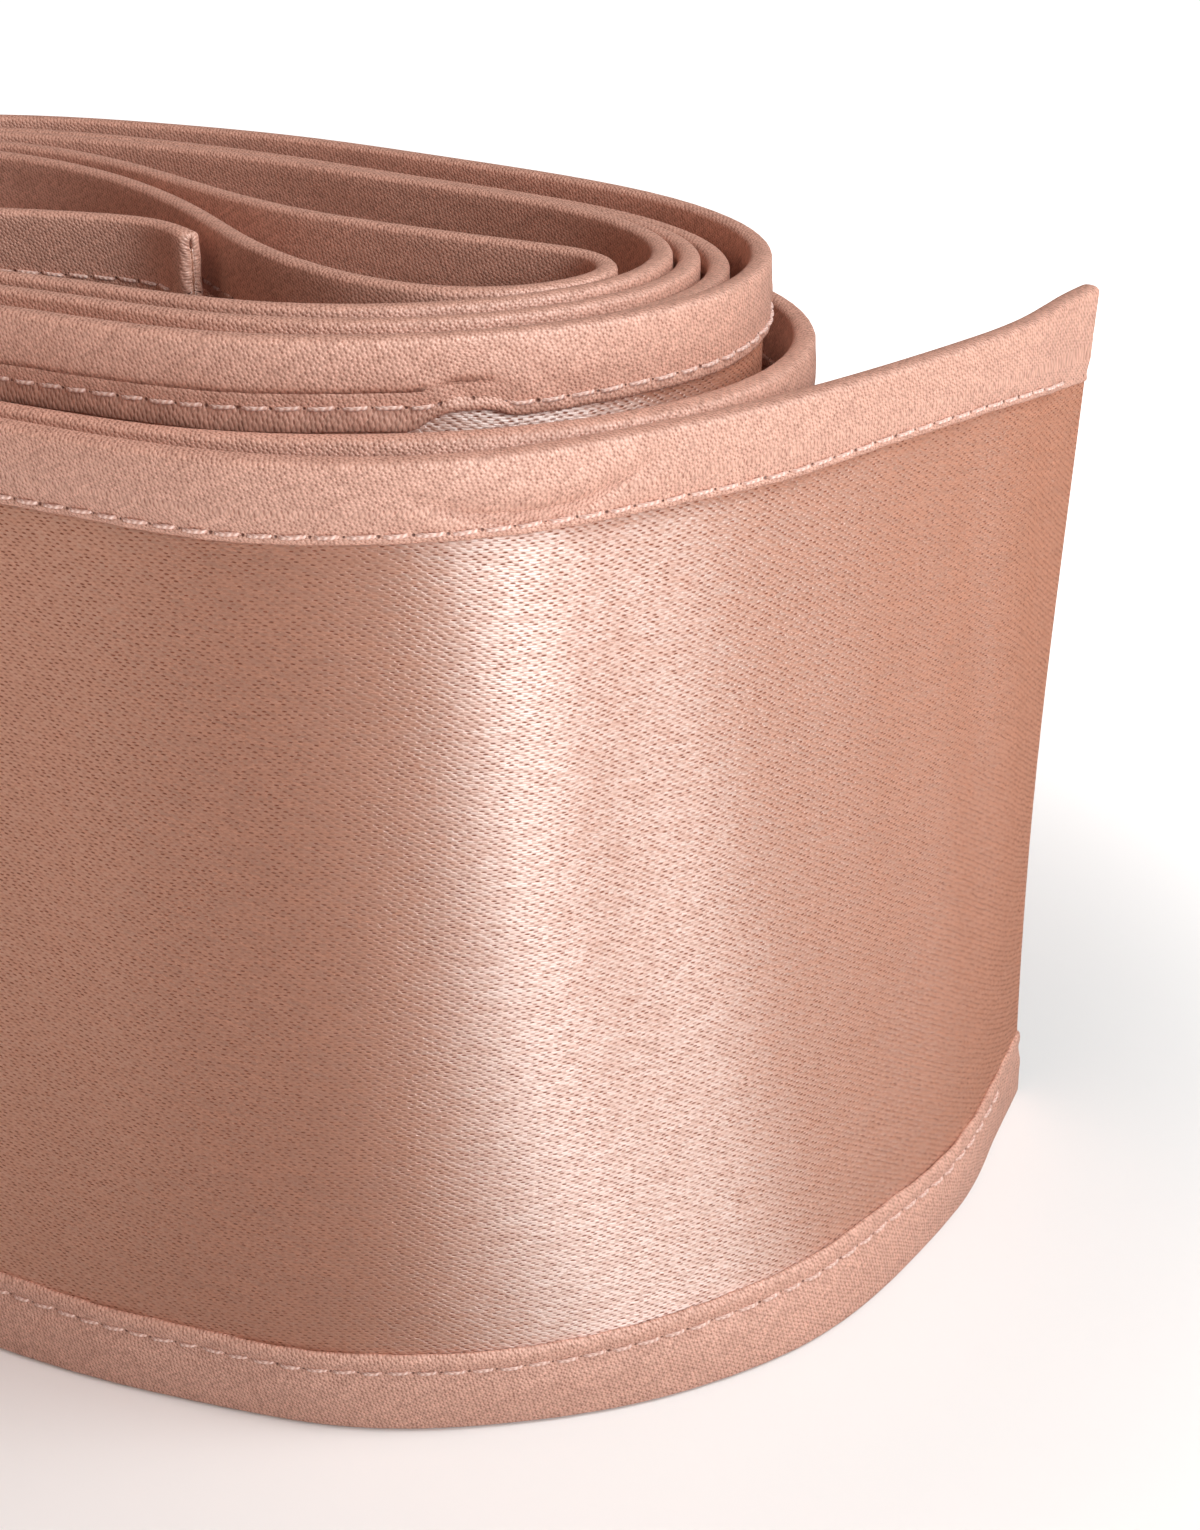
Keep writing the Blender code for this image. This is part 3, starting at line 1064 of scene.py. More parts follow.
class Strip:
    """A long strip of cloth, cut flat as a grid and then wound along the belt."""

    def __init__(self, name: str, columns: int, rows: int, cut: tuple[float, float]) -> None:
        """Lays the strip out flat.

        Args:
            name: The piece's name.
            columns: How many sections it has along its length.
            rows: How many points each section has across its width.
            cut: The strip's length and width, in millimetres.
        """
        bpy.ops.object.select_all(action="DESELECT")
        bpy.ops.mesh.primitive_grid_add(
            x_subdivisions=columns - 1, y_subdivisions=rows - 1, size=1.0, location=(0.0, 0.0, 0.0)
        )
        self.piece = bpy.context.active_object
        self.piece.name = name
        mesh = self.piece.data
        mesh.name = name
        flat = np.zeros(len(mesh.vertices) * 3)
        mesh.vertices.foreach_get("co", flat)
        flat = flat.reshape(-1, 3)
        self.column = np.rint((flat[:, 0] + 0.5) * (columns - 1)).astype(int)
        self.row = np.rint((flat[:, 1] + 0.5) * (rows - 1)).astype(int)
        self.cut = cut

    def map_cloth(self, layer: str, across: np.ndarray, up: np.ndarray) -> None:
        """Gives the strip a map in its own millimetres.

        Args:
            layer: The map's name.
            across: The first coordinate, by section and by point.
            up: The second coordinate, by section and by point.
        """
        mesh = self.piece.data
        spare = mesh.uv_layers.get("UVMap")
        uv = spare if spare is not None else mesh.uv_layers.new(name=layer)
        uv.name = layer
        values = np.stack([across[self.column, self.row], up[self.column, self.row]], axis=-1)
        write_map(mesh, uv, values)

    def wind(self, points: np.ndarray, thickness: float) -> bpy.types.Object:
        """Winds the strip and gives the cloth its thickness.

        Args:
            points: The strip's points in metres, by section and by point.
            thickness: The cloth's thickness in millimetres, shared between its two sides.

        Returns:
            The finished piece.
        """
        mesh = self.piece.data
        mesh.vertices.foreach_set("co", points[self.column, self.row].ravel())
        mesh.update()
        wall = self.piece.modifiers.new("cloth", "SOLIDIFY")
        wall.thickness = thickness * MM
        wall.offset = 0.0
        bpy.ops.object.modifier_apply(modifier=wall.name)
        bpy.ops.object.shade_smooth()
        return self.piece


def with_ends(end: np.ndarray, body: np.ndarray, length: float) -> np.ndarray:
    """Joins a strip's first end, its body and its last end, which mirrors the first.

    Args:
        end: Distances of the end's sections from the belt's end.
        body: The places of the sections between.
        length: The belt's length.

    Returns:
        The places of all the sections.
    """
    return np.concatenate([end, body, length - end[::-1]])


@dataclass
class SatinPanel:
    """One of the belt's two layers of satin, sewn into the bindings, with its ends turned in.

    Attributes:
        path: The belt's path.
        face: Which way the layer looks.
        thickness: The cloth's thickness.
        middle: How far the layer's middle stands from the belt's middle.
        end_middle: The same where the turned-in end lies beneath it.
        turned_middle: How far the turned-in end stands from the belt's middle.
        turn_in: How much of its length is turned in at each end.
    """

    path: BeltPath
    face: Face
    thickness: float = 0.25
    middle: float = 0.18
    end_middle: float = 0.40
    turned_middle: float = 0.14
    turn_in: float = 4.0

    DOWNS = (
        1.2, 3.0, 4.3, 5.1, 5.8, 6.5, 7.3, 8.3, 9.6, 11.2, 13.2, 15.6, 18.4, 21.6, 25.2, 29.0,
        33.0, 37.0, 41.0, 45.0, 49.0, 52.6, 56.0, 59.0, 61.6, 63.8, 65.4, 66.6, 67.6, 68.5, 69.6,
        71.2, 73.8,
    )

    # The turned-in end: its columns from the end, the fold's in degrees, and its share of cloth
    TURNED = (2.4, 1.0, 0.3)
    FOLD_ARC = (4.0, 26.0, 48.0, 68.0, 90.0)
    FOLD_CLOTH = 0.6

    # How far inside the fold the body begins, and over what length it comes back to the middle
    BODY_GAP = 0.2
    EASE = 3.0

    # Where below the upper binding and above the lower one the cloth begins to be free
    FREE_BELOW = (4.0, 8.0)
    FREE_ABOVE = (4.0, 9.0)

    def _columns(self) -> tuple[np.ndarray, np.ndarray, np.ndarray]:
        """Spaces out the sections.

        Returns:
            Each one's place along the belt, its distance out and its place on the cloth.
        """
        inner = self.path.stations()
        arc = np.radians(self.FOLD_ARC)
        turned = np.array([self.turn_in, *self.TURNED])
        fold_along = self.end_middle * (1.0 - np.cos(arc))
        fold_out = self.end_middle * np.sin(arc)
        length = self.path.length
        gap = self.end_middle + self.BODY_GAP
        body = inner[(inner > gap) & (inner < length - self.end_middle - self.BODY_GAP)]
        near_end = np.minimum(body, length - body)
        ease = smooth_step(self.turn_in, self.turn_in + self.EASE, near_end)
        body_out = self.end_middle + (self.middle - self.end_middle) * ease
        end_out = np.concatenate([np.full(len(turned), self.turned_middle), fold_out])
        fold_cloth = self.end_middle * arc * self.FOLD_CLOTH
        along = with_ends(np.concatenate([turned, fold_along]), body, length)
        out = np.concatenate([end_out, body_out, end_out[::-1]])
        cloth = with_ends(np.concatenate([-turned, fold_cloth]), body, length)
        return along, out, cloth

    def build(self, name: str, finish: bpy.types.Material) -> bpy.types.Object:
        """Cuts and winds the layer.

        Args:
            name: The piece's name.
            finish: Its material.

        Returns:
            The finished piece.
        """
        along, out, cloth = self._columns()
        down = np.tile(np.array(self.DOWNS), (len(along), 1))
        cut = (float(cloth[-1] - cloth[0]), self.DOWNS[-1] - self.DOWNS[0])
        strip = Strip(name, len(along), len(self.DOWNS), cut)
        between = smooth_step(*self.FREE_BELOW, down)
        between = between * smooth_step(*self.FREE_ABOVE, BELT_WIDTH - down)
        rise = crease_rise(PANEL_CREASES, along, down) + soft_hand(along, down)
        reach = self.face.value * out[:, None] + rise * between
        strip.map_cloth(CLOTH_UV, np.tile(cloth[:, None], (1, down.shape[1])), down)
        piece = strip.wind(self.path.points(along, reach, down), self.thickness)
        piece.data.materials.append(finish)
        dress(piece, [f"{stretch}_panel" for stretch in STRETCHES])
        self.cut = strip.cut
        return piece


@dataclass
class BiasBinding:
    """A bias-cut strip folded over one long edge of the belt, its own edges turned in.

    Attributes:
        path: The belt's path.
        edge: The edge that it covers.
        depth: How far it reaches from the edge.
        hem: How much of its width is turned in on each face.
        seam: How far its topstitch runs from its turned-in fold.
        lip: How much of its puff it has between the two.
        thickness: The cloth's thickness.
        leg_middle: How far a folded face's middle stands from the belt's middle.
        hem_middle: The same for its turned-in part.
        puff: How far its face swells where nothing presses on it.
    """

    path: BeltPath
    edge: Edge
    depth: float
    hem: float
    seam: float
    lip: float
    thickness: float = 0.2
    leg_middle: float = 0.645
    hem_middle: float = 0.425
    puff: float = 0.07

    # Round the fold: how flat it is, its arc in degrees, its bends and its shares of the puff
    FOLD_RISE = 0.62
    OVER_ARC = (66.0, 44.0, 24.0, 8.0)
    OUT_BEND, DOWN_BEND = 0.75, 0.85
    OVER_SWELLS = (0.1, 0.3, 0.45, 0.55)

    # Down the face: shares of its depth, distances before the seam, shares of the lip beyond it
    RATIOS = (0.2, 0.3, 0.4, 0.5, 0.59)
    BEFORE_SEAM = (1.3, 0.95, 0.65, 0.4, 0.18, 0.0)
    LIP_RATIOS = (0.38, 0.7)
    SWELLS = (0.7, 0.9, 1.0, 1.0, 0.93, 0.78, 0.6, 0.4, 0.18, 0.0, -0.12)

    # Under the face: the turned-in fold's arc in degrees, and how far above it the hem's rows lie
    HEM_ARC = (75.0, 20.0, -20.0, -75.0)
    HEM_ROWS = (0.5, 1.4)

    # One place where the outer face is caught up short: its middle, its reach, and what it does
    CAUGHT_AT, CAUGHT_REACH = 587.4, 2.1
    CAUGHT_DEPTH, CAUGHT_SEAM, CAUGHT_ROLL, CAUGHT_SINK = 0.6, 0.5, 0.2, 0.4

    # Where the outer face hangs slack beside it, and where the free end's seam has come back up
    SLACK_ZONE, SLACK = (589.6, 591.4, 655.0, 700.0), 0.75
    SEAM_FADE, SEAM_DROP = (95.0, 150.0), 0.3

    # Where nothing presses on the folds, and how much fuller they are; where two face each other
    # they share their gap, and part of the way along it narrows
    FREE_ZONE, FREE_PUFF = (2.0, 14.0, 150.0, 176.0), 0.2
    SECOND_ZONE, SECOND_PUFF = (560.0, 574.0, 640.0, 655.0), 0.12
    FACING_ZONE, FACING_NARROWS = (14.0, 34.0, 104.0, 128.0), (66.0, 82.0)
    BEHIND_ZONE, BEHIND_NARROWS = (298.0, 316.0, 378.0, 396.0), (334.0, 350.0)
    SHARED_PUFF, NARROWED = 0.55, 0.4

    # How much thicker it is over the turned-in ends, and between which places that fades
    END_SWELL, SWELL_FADE = 0.05, (4.0, 7.0)

    # Its own turned-in ends: places from the end, each with its size, and what size changes
    END_COLUMNS = (
        (-2.2, 0.0), (-0.75, 0.0), (-0.25, 0.0), (0.0, 0.0), (0.03, 0.28),
        (0.09, 0.55), (0.18, 0.8), (0.32, 1.0),
    )
    BODY_FROM = 0.35
    END_THICKNESS = (0.25, 0.75)
    END_DEPTH = (0.86, 0.14)

    # Rows at the hem that no crease and no needle reaches, and a distance that no needle reaches
    CREASE_FREE_ROWS = 6
    SEAM_FREE_ROWS = 5
    FAR_FROM_SEAM = 5.0

    @property
    def upper(self) -> bool:
        """Whether it covers the upper edge."""
        return self.edge is Edge.UPPER

    def _thicker(self, along: np.ndarray) -> np.ndarray:
        """Returns how many times thicker the binding is at those places."""
        near_end = np.minimum(along, self.path.length - along)
        return 1.0 + self.END_SWELL * (1.0 - smooth_step(*self.SWELL_FADE, near_end))

    def _hand(self, along: np.ndarray, down: np.ndarray) -> np.ndarray:
        """Returns this binding's own small drags."""
        return binding_hand(along, down, 0.0 if self.upper else 2.0)

    def _even_depth(self, along: np.ndarray, face: Face) -> np.ndarray:
        """Reads how deep the binding is where nothing pulls at it.

        Args:
            along: The places to read.
            face: The face.

        Returns:
            The depths there.
        """
        phase = 0.4 if face is Face.OUTER else 2.6
        depth = self.depth + wander(along, phase + (0.0 if self.upper else 1.7))
        return depth + (self.path.flare(along) if self.upper else 0.0)

    def _caught(self, along: np.ndarray, face: Face) -> np.ndarray:
        """Reads where the fold is caught up short: one place on the second turn's front.

        Args:
            along: The places to read.
            face: The face.

        Returns:
            How much of that there is at each place, from 0 to 1.
        """
        if not self.upper or face is Face.INNER:
            return np.zeros_like(along)
        return np.exp(-(((along - self.CAUGHT_AT) / self.CAUGHT_REACH) ** 4))

    def depths(self, along: np.ndarray, face: Face) -> np.ndarray:
        """Reads how deep the binding is.

        Args:
            along: The places to read.
            face: The face.

        Returns:
            The depths there.
        """
        depth = self._even_depth(along, face) - self.CAUGHT_DEPTH * self._caught(along, face)
        if self.upper and face is Face.OUTER:
            depth = depth + self.SLACK * within(self.SLACK_ZONE, along)
        return depth

    def seams(self, along: np.ndarray, face: Face) -> np.ndarray:
        """Reads how far from the edge the topstitch runs.

        Args:
            along: The places to read.
            face: The face.

        Returns:
            The distances there.
        """
        seam = self._even_depth(along, face) - self.seam
        seam = seam - self.CAUGHT_SEAM * self._caught(along, face)
        if self.upper and face is Face.OUTER:
            seam = seam + self.SEAM_DROP * (1.0 - smooth_step(*self.SEAM_FADE, along))
        return seam

    def _shared(
        self, zone: tuple[float, ...], narrows: tuple[float, float], along: np.ndarray
    ) -> np.ndarray:
        """Returns how much fuller a fold is where it faces another fold across a gap."""
        room = self.SHARED_PUFF - self.NARROWED * smooth_step(*narrows, along)
        return within(zone, along) * room

    def _puffs(self, along: np.ndarray, face: Face) -> np.ndarray:
        """Reads how far the face swells.

        Args:
            along: The places to read.
            face: The face.

        Returns:
            The swellings there.
        """
        if face is Face.INNER:
            facing = self._shared(self.FACING_ZONE, self.FACING_NARROWS, along)
            return self.puff + (facing if self.upper else np.zeros_like(along))
        upper = self.SECOND_PUFF * within(self.SECOND_ZONE, along)
        upper = upper + self._shared(self.BEHIND_ZONE, self.BEHIND_NARROWS, along)
        free = self.FREE_PUFF * within(self.FREE_ZONE, along)
        return self.puff + free + (upper if self.upper else 0.0)

    def _half(self, along: np.ndarray, face: Face) -> tuple[np.ndarray, np.ndarray, np.ndarray]:
        """Lays out one face's half of the section, from the edge to the turned-in cut edge.

        Args:
            along: Where the sections stand.
            face: The face.

        Returns:
            The distances out, the distances from the edge, and the places across the flat cloth.
        """
        depth = self.depths(along, face)[:, None]
        seam = self.seams(along, face)[:, None]
        puff = self._puffs(along, face)[:, None]
        rolled = self.CAUGHT_ROLL * self._caught(along, face)[:, None]
        radius = self.leg_middle
        flat = self.FOLD_RISE * radius
        top = self.thickness / 2.0
        arc = np.radians(self.OVER_ARC)
        over_out = radius * np.cos(arc) ** self.OUT_BEND + puff * np.array(self.OVER_SWELLS)
        over_down = top + flat * (1.0 - np.sin(arc) ** self.DOWN_BEND)
        over_down = np.tile(over_down, (len(along), 1))
        before = seam - np.array(self.BEFORE_SEAM)
        lip = seam + (depth - seam) * np.array(self.LIP_RATIOS)
        downs = np.concatenate([depth * np.array(self.RATIOS), before, lip], axis=1)
        outs = radius + puff * np.array([*self.SWELLS, self.lip, self.lip])
        outs[:, -len(self.LIP_RATIOS) :] += rolled
        bend = (self.leg_middle - self.hem_middle) / 2.0
        fold = np.radians(self.HEM_ARC)
        fold_out = (self.leg_middle + self.hem_middle) / 2.0 + bend * np.sin(fold) + rolled
        fold_down = depth - bend + bend * np.cos(fold)
        hem_down = depth - np.array([*self.HEM_ROWS, self.hem])
        hem_out = np.full(hem_down.shape, self.hem_middle)
        out = np.concatenate([over_out, outs, fold_out, hem_out], axis=1)
        down = np.concatenate([over_down, downs, fold_down, hem_down], axis=1)
        step = np.hypot(np.diff(out, axis=1), np.diff(down, axis=1)).mean(axis=0)
        start = math.hypot(over_out[0, 0], over_down[0, 0] - top)
        cloth = start + np.concatenate([[0.0], np.cumsum(step)])
        return face.value * out, down, face.value * cloth

    def _columns(self) -> tuple[np.ndarray, np.ndarray, np.ndarray]:
        """Spaces out the sections.

        Returns:
            Each one's place along the belt, its size and its place on the cloth.
        """
        length = self.path.length
        body = self.path.stations()
        body = body[(body > self.BODY_FROM) & (body < length - self.BODY_FROM)]
        place, size = np.array(self.END_COLUMNS).T
        sizes = np.concatenate([size, np.ones(len(body)), size[::-1]])
        return with_ends(np.abs(place), body, length), sizes, with_ends(place, body, length)

    def build(self, name: str, finish: bpy.types.Material) -> bpy.types.Object:
        """Cuts, folds and winds the binding.

        Args:
            name: The piece's name.
            finish: Its material.

        Returns:
            The finished piece.
        """
        along, size, cloth_along = self._columns()
        thick = self._thicker(along)
        outer = self._half(along, Face.OUTER)
        inner = self._half(along, Face.INNER)
        top_down = np.full((len(along), 1), self.thickness / 2.0)
        out = np.concatenate([inner[0][:, ::-1], np.zeros_like(top_down), outer[0]], axis=1)
        down = np.concatenate([inner[1][:, ::-1], top_down, outer[1]], axis=1)
        cloth = np.concatenate([inner[2][::-1], [0.0], outer[2]])
        rows = len(cloth)
        least, growth = self.END_THICKNESS
        out = out * (thick * (least + growth * size))[:, None]
        middle = self.depth / 2.0
        least, growth = self.END_DEPTH
        down = middle + (down - middle) * (least + growth * size)[:, None]
        out = out + self._hand(along, down) * np.clip((thick * size)[:, None], 0.0, 1.0)
        if self.upper:
            rise = crease_rise(UPPER_OUTER_CREASES, along, down)
            rise[:, : rows // 2 + 2] = 0.0
            rise[:, -self.CREASE_FREE_ROWS :] = 0.0
            out = out + rise
        cut = (float(cloth_along[-1] - cloth_along[0]), float(cloth[-1] - cloth[0]))
        strip = Strip(name, len(along), rows, cut)
        across = np.tile(cloth_along[:, None], (1, rows))
        up = np.tile(cloth if self.upper else -cloth, (len(along), 1))
        strip.map_cloth(CLOTH_UV, across, up)
        inner_seam = inner[1] - self.seams(along, Face.INNER)[:, None]
        outer_seam = outer[1] - self.seams(along, Face.OUTER)[:, None]
        far = top_down - self.FAR_FROM_SEAM
        seam = np.concatenate([inner_seam[:, ::-1], far, outer_seam], axis=1)
        seam[:, : self.SEAM_FREE_ROWS] = self.FAR_FROM_SEAM
        seam[:, -self.SEAM_FREE_ROWS :] = self.FAR_FROM_SEAM
        strip.map_cloth(SEAM_UV, np.tile(along[:, None] / STITCH_PITCH, (1, rows)), seam)
        belt_down = down if self.upper else BELT_WIDTH - down
        piece = strip.wind(self.path.points(along, out, belt_down), self.thickness)
        piece.data.materials.append(finish)
        nodes = [f"{stretch}_{self.edge.value}_binding" for stretch in STRETCHES]
        dress(piece, nodes)
        self.cut = strip.cut
        return piece

    def stitch_line(self, along: np.ndarray, face: Face) -> tuple[np.ndarray, np.ndarray]:
        """Reads where the binding's surface is along its topstitch.

        Args:
            along: The places to read.
            face: The face.

        Returns:
            How far out it is, and how far below the upper edge.
        """
        down = self.seams(along, face)
        groove = self._puffs(along, face) * self.SWELLS[-1]
        groove = groove - self.CAUGHT_SINK * self._caught(along, face)
        out = self.leg_middle + groove + self.thickness / 2.0
        out = out + face.value * self._hand(along, down[:, None])[:, 0]
        if self.upper and face is Face.OUTER:
            out = out + crease_rise(UPPER_OUTER_CREASES, along, down[:, None])[:, 0]
        return out * self._thicker(along), down if self.upper else BELT_WIDTH - down


@dataclass
class Topstitching:
    """One face's row of topstitches along a binding, each a short piece of twisted thread.

    Attributes:
        binding: The binding that it holds.
        face: The face that it shows on.
        radius: Half the thread's thickness.
        bury: How far a stitch's ends go into the cloth.
        slant: How far a stitch's ends stand to each side of its line.
    """

    binding: BiasBinding
    face: Face
    radius: float = 0.145
    bury: float = 0.22
    slant: float = 0.04

    SIDES = 6
    RINGS = (-1.0, -0.82, -0.45, 0.0, 0.45, 0.82, 1.0)

    # How far from the belt's ends a row begins and stops
    END_MARGIN = 2.2

    # A stitch's length as a share, how much that changes from one to the next, and how quickly
    LENGTH, LENGTH_CHANGE, LENGTH_WAVE = 0.92, 0.08, 1.7

    # How proud the thread stands in radii, and where tight turns press it in, and by how much
    PROUD, PRESSED = 0.95, 1.1
    PRESSED_ZONE = (930.0, 990.0, 1460.0, 1490.0)

    # How sharply a stitch arches down at its ends, how much thinner it is there, and how late
    ARCH_BEND = 6
    THINNER, THINNER_BEND = 0.25, 4

    def _one_stitch(self) -> tuple[np.ndarray, np.ndarray]:
        """Models one stitch, from -1 to 1 along X.

        Returns:
            Its vertices and its faces.
        """
        bpy.ops.object.select_all(action="DESELECT")
        bpy.ops.mesh.primitive_cylinder_add(
            vertices=self.SIDES,
            radius=1.0,
            depth=2.0,
            end_fill_type="NGON",
            rotation=(0.0, math.pi / 2.0, 0.0),
        )
        thread = bpy.context.active_object
        bpy.ops.object.transform_apply(location=True, rotation=True, scale=True)
        bpy.ops.object.mode_set(mode="EDIT")
        for ring in self.RINGS[1:-1]:
            bpy.ops.mesh.select_all(action="SELECT")
            bpy.ops.mesh.bisect(plane_co=(ring, 0.0, 0.0), plane_no=(1.0, 0.0, 0.0))
        bpy.ops.object.mode_set(mode="OBJECT")
        mesh = thread.data
        vertices = np.array([vertex.co[:] for vertex in mesh.vertices])
        faces = [tuple(face.vertices) for face in mesh.polygons]
        bpy.data.objects.remove(thread, do_unlink=True)
        bpy.data.meshes.remove(mesh)
        return vertices, faces

    def build(self, name: str, finish: bpy.types.Material) -> bpy.types.Object:
        """Sews the row.

        Args:
            name: The piece's name.
            finish: Its material.

        Returns:
            The finished piece.
        """
        path = self.binding.path
        stitch, faces = self._one_stitch()
        first = math.ceil(self.END_MARGIN / STITCH_PITCH)
        last = math.floor((path.length - self.END_MARGIN) / STITCH_PITCH)
        middles = (np.arange(first, last) + 1.0) * STITCH_PITCH
        half = STITCH_PITCH * STITCH_SHARE / 2.0
        tight = self.LENGTH + self.LENGTH_CHANGE * np.sin(middles * self.LENGTH_WAVE)
        along = middles[:, None] + stitch[None, :, 0] * half * tight[:, None]
        flat_along = along.ravel()
        surface, line = self.binding.stitch_line(flat_along, self.face)
        share = np.tile(stitch[:, 0], len(middles))
        round_out = np.tile(stitch[:, 2], len(middles))
        round_down = np.tile(stitch[:, 1], len(middles))
        proud = self.PROUD - self.PRESSED * within(self.PRESSED_ZONE, flat_along)
        proud = proud * self.radius
        arch = proud - (self.bury + proud) * np.abs(share) ** self.ARCH_BEND
        fine = self.radius * (1.0 - self.THINNER * np.abs(share) ** self.THINNER_BEND)
        out = self.face.value * (surface + arch + fine * round_out)
        down = line + fine * round_down + self.slant * share
        points = path.points(flat_along, out[:, None], down[:, None])[:, 0]
        count = len(stitch)
        mesh = bpy.data.meshes.new(name)
        copies = range(len(middles))
        every = [tuple(i + copy * count for i in face) for copy in copies for face in faces]
        mesh.from_pydata(points.tolist(), [], every)
        piece = bpy.data.objects.new(name, mesh)
        bpy.context.scene.collection.objects.link(piece)
        bpy.ops.object.select_all(action="DESELECT")
        piece.select_set(True)
        bpy.context.view_layer.objects.active = piece
        bpy.ops.object.mode_set(mode="EDIT")
        bpy.ops.mesh.select_all(action="SELECT")
        bpy.ops.mesh.normals_make_consistent(inside=False)
        bpy.ops.object.mode_set(mode="OBJECT")
        bpy.ops.object.shade_smooth()
        uv = mesh.uv_layers.new(name=CLOTH_UV)
        around = np.arctan2(round_out, round_down) / (2.0 * math.pi)
        write_map(mesh, uv, np.stack([flat_along, around], axis=-1))
        mesh.materials.append(finish)
        dress(piece, [])
        return piece


def dress(piece: bpy.types.Object, nodes: list[str]) -> None:
    """Ties a piece to the frame and reports it.

    Args:
        piece: The piece.
        nodes: The solids that it stands for.
    """
    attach(piece, BODY)
    if nodes:
        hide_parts(*nodes)
    mesh = piece.data
    LOG.info("%s: %d vertices, %d faces", piece.name, len(mesh.vertices), len(mesh.polygons))


class SatinBelt:
    """The whole belt: two satin layers, two bindings and four rows of topstitching."""

    def __init__(self) -> None:
        """Sets out the belt's pieces."""
        self.path = BeltPath()
        self.bindings = {
            Edge.UPPER: BiasBinding(
                self.path, Edge.UPPER, depth=TOP_BINDING_DEPTH, hem=4.0, seam=0.78, lip=0.25
            ),
            Edge.LOWER: BiasBinding(
                self.path, Edge.LOWER, depth=BOTTOM_BINDING_DEPTH, hem=5.2, seam=1.45, lip=0.7
            ),
        }

    def build(self) -> None:
        """Builds every piece and ties it to the frame."""
        satin, bias, thread = SATIN.material(), BIAS.material(), THREAD.material()
        for face in Face:
            panel = SatinPanel(self.path, face)
            piece = panel.build(f"satin_panel_{face.name.lower()}", satin)
        for edge, binding in self.bindings.items():
            name = edge.value
            piece = binding.build(f"{name}_bias_binding", bias)
            stitches = [
                Topstitching(binding, face).build(f"{name}_stitches_{face.name.lower()}", thread)
                for face in Face
            ]


@dataclass(frozen=True)
class Lamp:
    """A soft light, by where it stands round the belt.

    Attributes:
        name: The light's name.
        azimuth: Degrees round from +X, seen from above.
        elevation: Degrees above the floor.
        power: Its power in watts.
        colour: Its colour as sRGB hex.
        size: Its width and height in metres.
        distance: How far from the belt, in metres.
    """

    name: str
    azimuth: float
    elevation: float
    power: float
    colour: str = "ffffff"
    size: tuple[float, float] = (0.26, 0.26)
    distance: float = 0.6


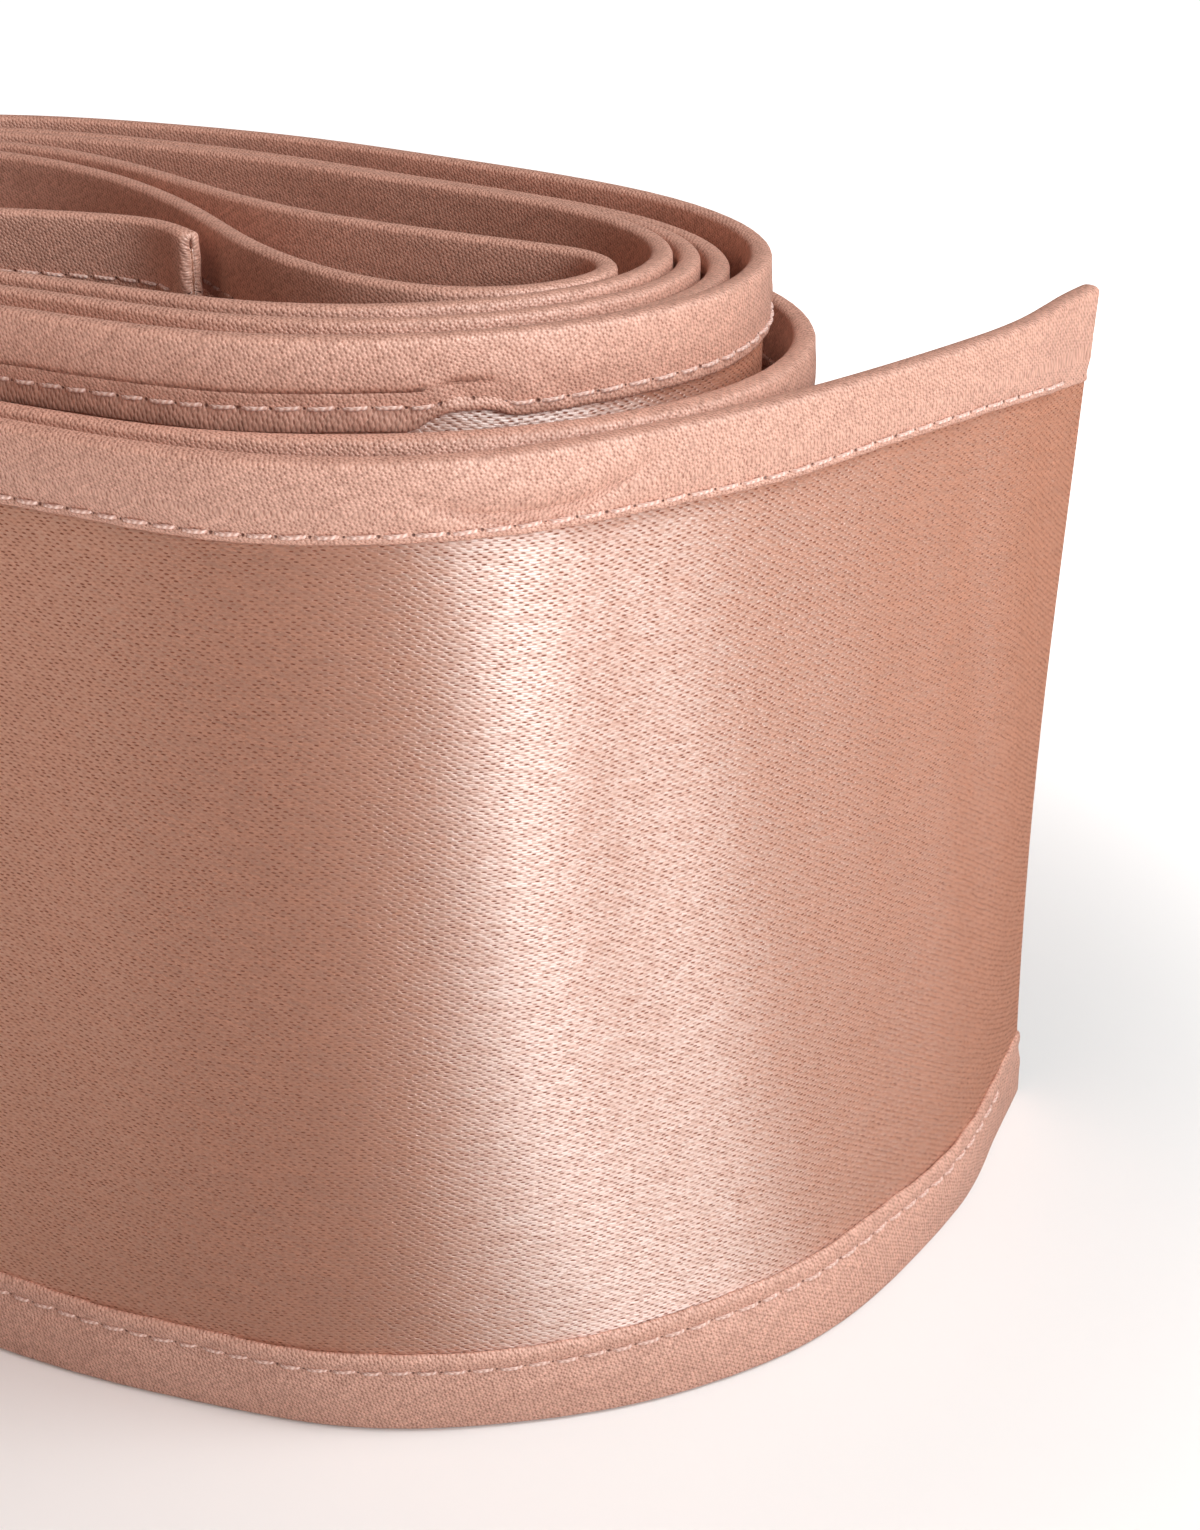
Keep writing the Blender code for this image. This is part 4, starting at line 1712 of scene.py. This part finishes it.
@dataclass
class Studio:
    """A pale floor, soft lights and the camera.

    Attributes:
        lamps: The lights.
        aim: The place that the lights look at.
        floor_radius: The floor's radius in metres.
        floor_colour: Its colour as sRGB hex.
        world_colour: The room's light as sRGB hex.
        world_strength: How strong that is.
        glow_from: How far from the belt the board begins to glow with painted light, in metres.
        glow_full: How far from it the board glows in full.
        glow_strength: How strong that painted glow is.
        camera_place: Where the camera stands, in metres.
        camera_tilt: How far it is tipped up from looking straight down, in degrees.
        lens: Its focal length in millimetres.
        sensor: The width of its sensor in millimetres.
    """

    lamps: tuple[Lamp, ...] = (
        Lamp("key_softbox", -20.0, 55.0, power=1.92, colour="f9feff"),
        Lamp("front_softbox", -50.0, 25.0, power=1.24, colour="f6fcff"),
        Lamp("wide_softbox", -50.0, 25.0, power=1.18, size=(0.56, 0.26), distance=0.62),
        Lamp("right_fill", 0.0, 50.0, power=0.3),
        Lamp("left_fill", -160.0, 30.0, power=0.26, colour="ffe0c8"),
        Lamp("back_fill", 170.0, 35.0, power=0.46, colour="ffb8a2"),
    )
    aim: Vector = field(default_factory=lambda: Vector((0.0, 0.0, 0.045)))
    floor_radius: float = 3.0
    floor_colour: str = "f4f3f2"
    world_colour: str = "ffd6ca"
    world_strength: float = 0.06
    glow_from: float = 0.06
    glow_full: float = 0.17
    glow_strength: float = 1.0
    camera_place: tuple[float, float, float] = (0.02492, -0.18415, 0.123)
    camera_tilt: float = 64.5
    lens: float = 58.82
    sensor: float = 36.0

    def build(self) -> None:
        """Builds the studio."""
        self._floor()
        for lamp in self.lamps:
            self._lamp(lamp)
        self._world()
        self._camera()

    def _floor(self) -> None:
        """Lays a plain pale floor, with a painted glow of its own away from the belt."""
        bpy.ops.object.select_all(action="DESELECT")
        bpy.ops.mesh.primitive_circle_add(
            vertices=64, radius=self.floor_radius, fill_type="NGON", location=(0.0, 0.0, 0.0)
        )
        floor = bpy.context.active_object
        floor.name = "studio_floor"
        material = new_material("matt_white_board_painted_glow")
        tree = material.node_tree
        place = add_node(tree, "ShaderNodeTexCoord").outputs["Object"]
        # Painted glow: away from the belt the board emits light, which also lights the belt
        inputs = {
            "Value": length_of(tree, place),
            "From Min": self.glow_from,
            "From Max": self.glow_full,
            "To Max": self.glow_strength,
        }
        glow = add_node(tree, "ShaderNodeMapRange", inputs, interpolation_type="SMOOTHSTEP")
        add_surface(
            tree,
            {
                "Base Color": linear(self.floor_colour),
                "Roughness": 0.9,
                "Specular IOR Level": 0.1,
                "Emission Color": linear(self.floor_colour),
                "Emission Strength": glow.outputs["Result"],
            },
        )
        floor.data.materials.append(material)
        floor.visible_glossy = False
        LOG.info("studio floor, %.1f m across", 2.0 * self.floor_radius)

    def _lamp(self, lamp: Lamp) -> None:
        """Hangs one light.

        Args:
            lamp: Where it hangs and how bright it is.
        """
        azimuth, elevation = math.radians(lamp.azimuth), math.radians(lamp.elevation)
        level = math.cos(elevation)
        across, ahead = level * math.cos(azimuth), level * math.sin(azimuth)
        away = Vector((across, ahead, math.sin(elevation)))
        bpy.ops.object.light_add(type="AREA", location=self.aim + away * lamp.distance)
        light = bpy.context.active_object
        light.name = lamp.name
        light.rotation_euler = away.to_track_quat("Z", "Y").to_euler()
        light.data.shape = "RECTANGLE"
        light.data.size, light.data.size_y = lamp.size
        light.data.energy = lamp.power
        light.data.color = linear(lamp.colour)[:3]
        LOG.info("light %s, %.1f W", lamp.name, lamp.power)

    def _world(self) -> None:
        """Gives the room its own dim light."""
        world = bpy.data.worlds.new("studio_room")
        world.use_nodes = True
        tree = world.node_tree
        tree.nodes.clear()
        inputs = {"Color": linear(self.world_colour), "Strength": self.world_strength}
        glow = add_node(tree, "ShaderNodeBackground", inputs).outputs[0]
        add_node(tree, "ShaderNodeOutputWorld", {"Surface": glow})
        bpy.context.scene.world = world

    def _camera(self) -> None:
        """Stands the camera at the front, looking down on the roll."""
        tilt = (math.radians(self.camera_tilt), 0.0, 0.0)
        bpy.ops.object.camera_add(location=self.camera_place, rotation=tilt)
        camera = bpy.context.active_object
        camera.name = "camera"
        camera.data.lens = self.lens
        camera.data.sensor_width = self.sensor
        camera.data.clip_start = MM
        bpy.context.scene.camera = camera
        bpy.context.scene.view_settings.view_transform = "Standard"


def main() -> None:
    """Builds the belt and the studio."""
    logging.basicConfig(level=logging.INFO, format="%(name)s: %(message)s")
    SatinBelt().build()
    Studio().build()


if __name__ == "__main__":
    main()
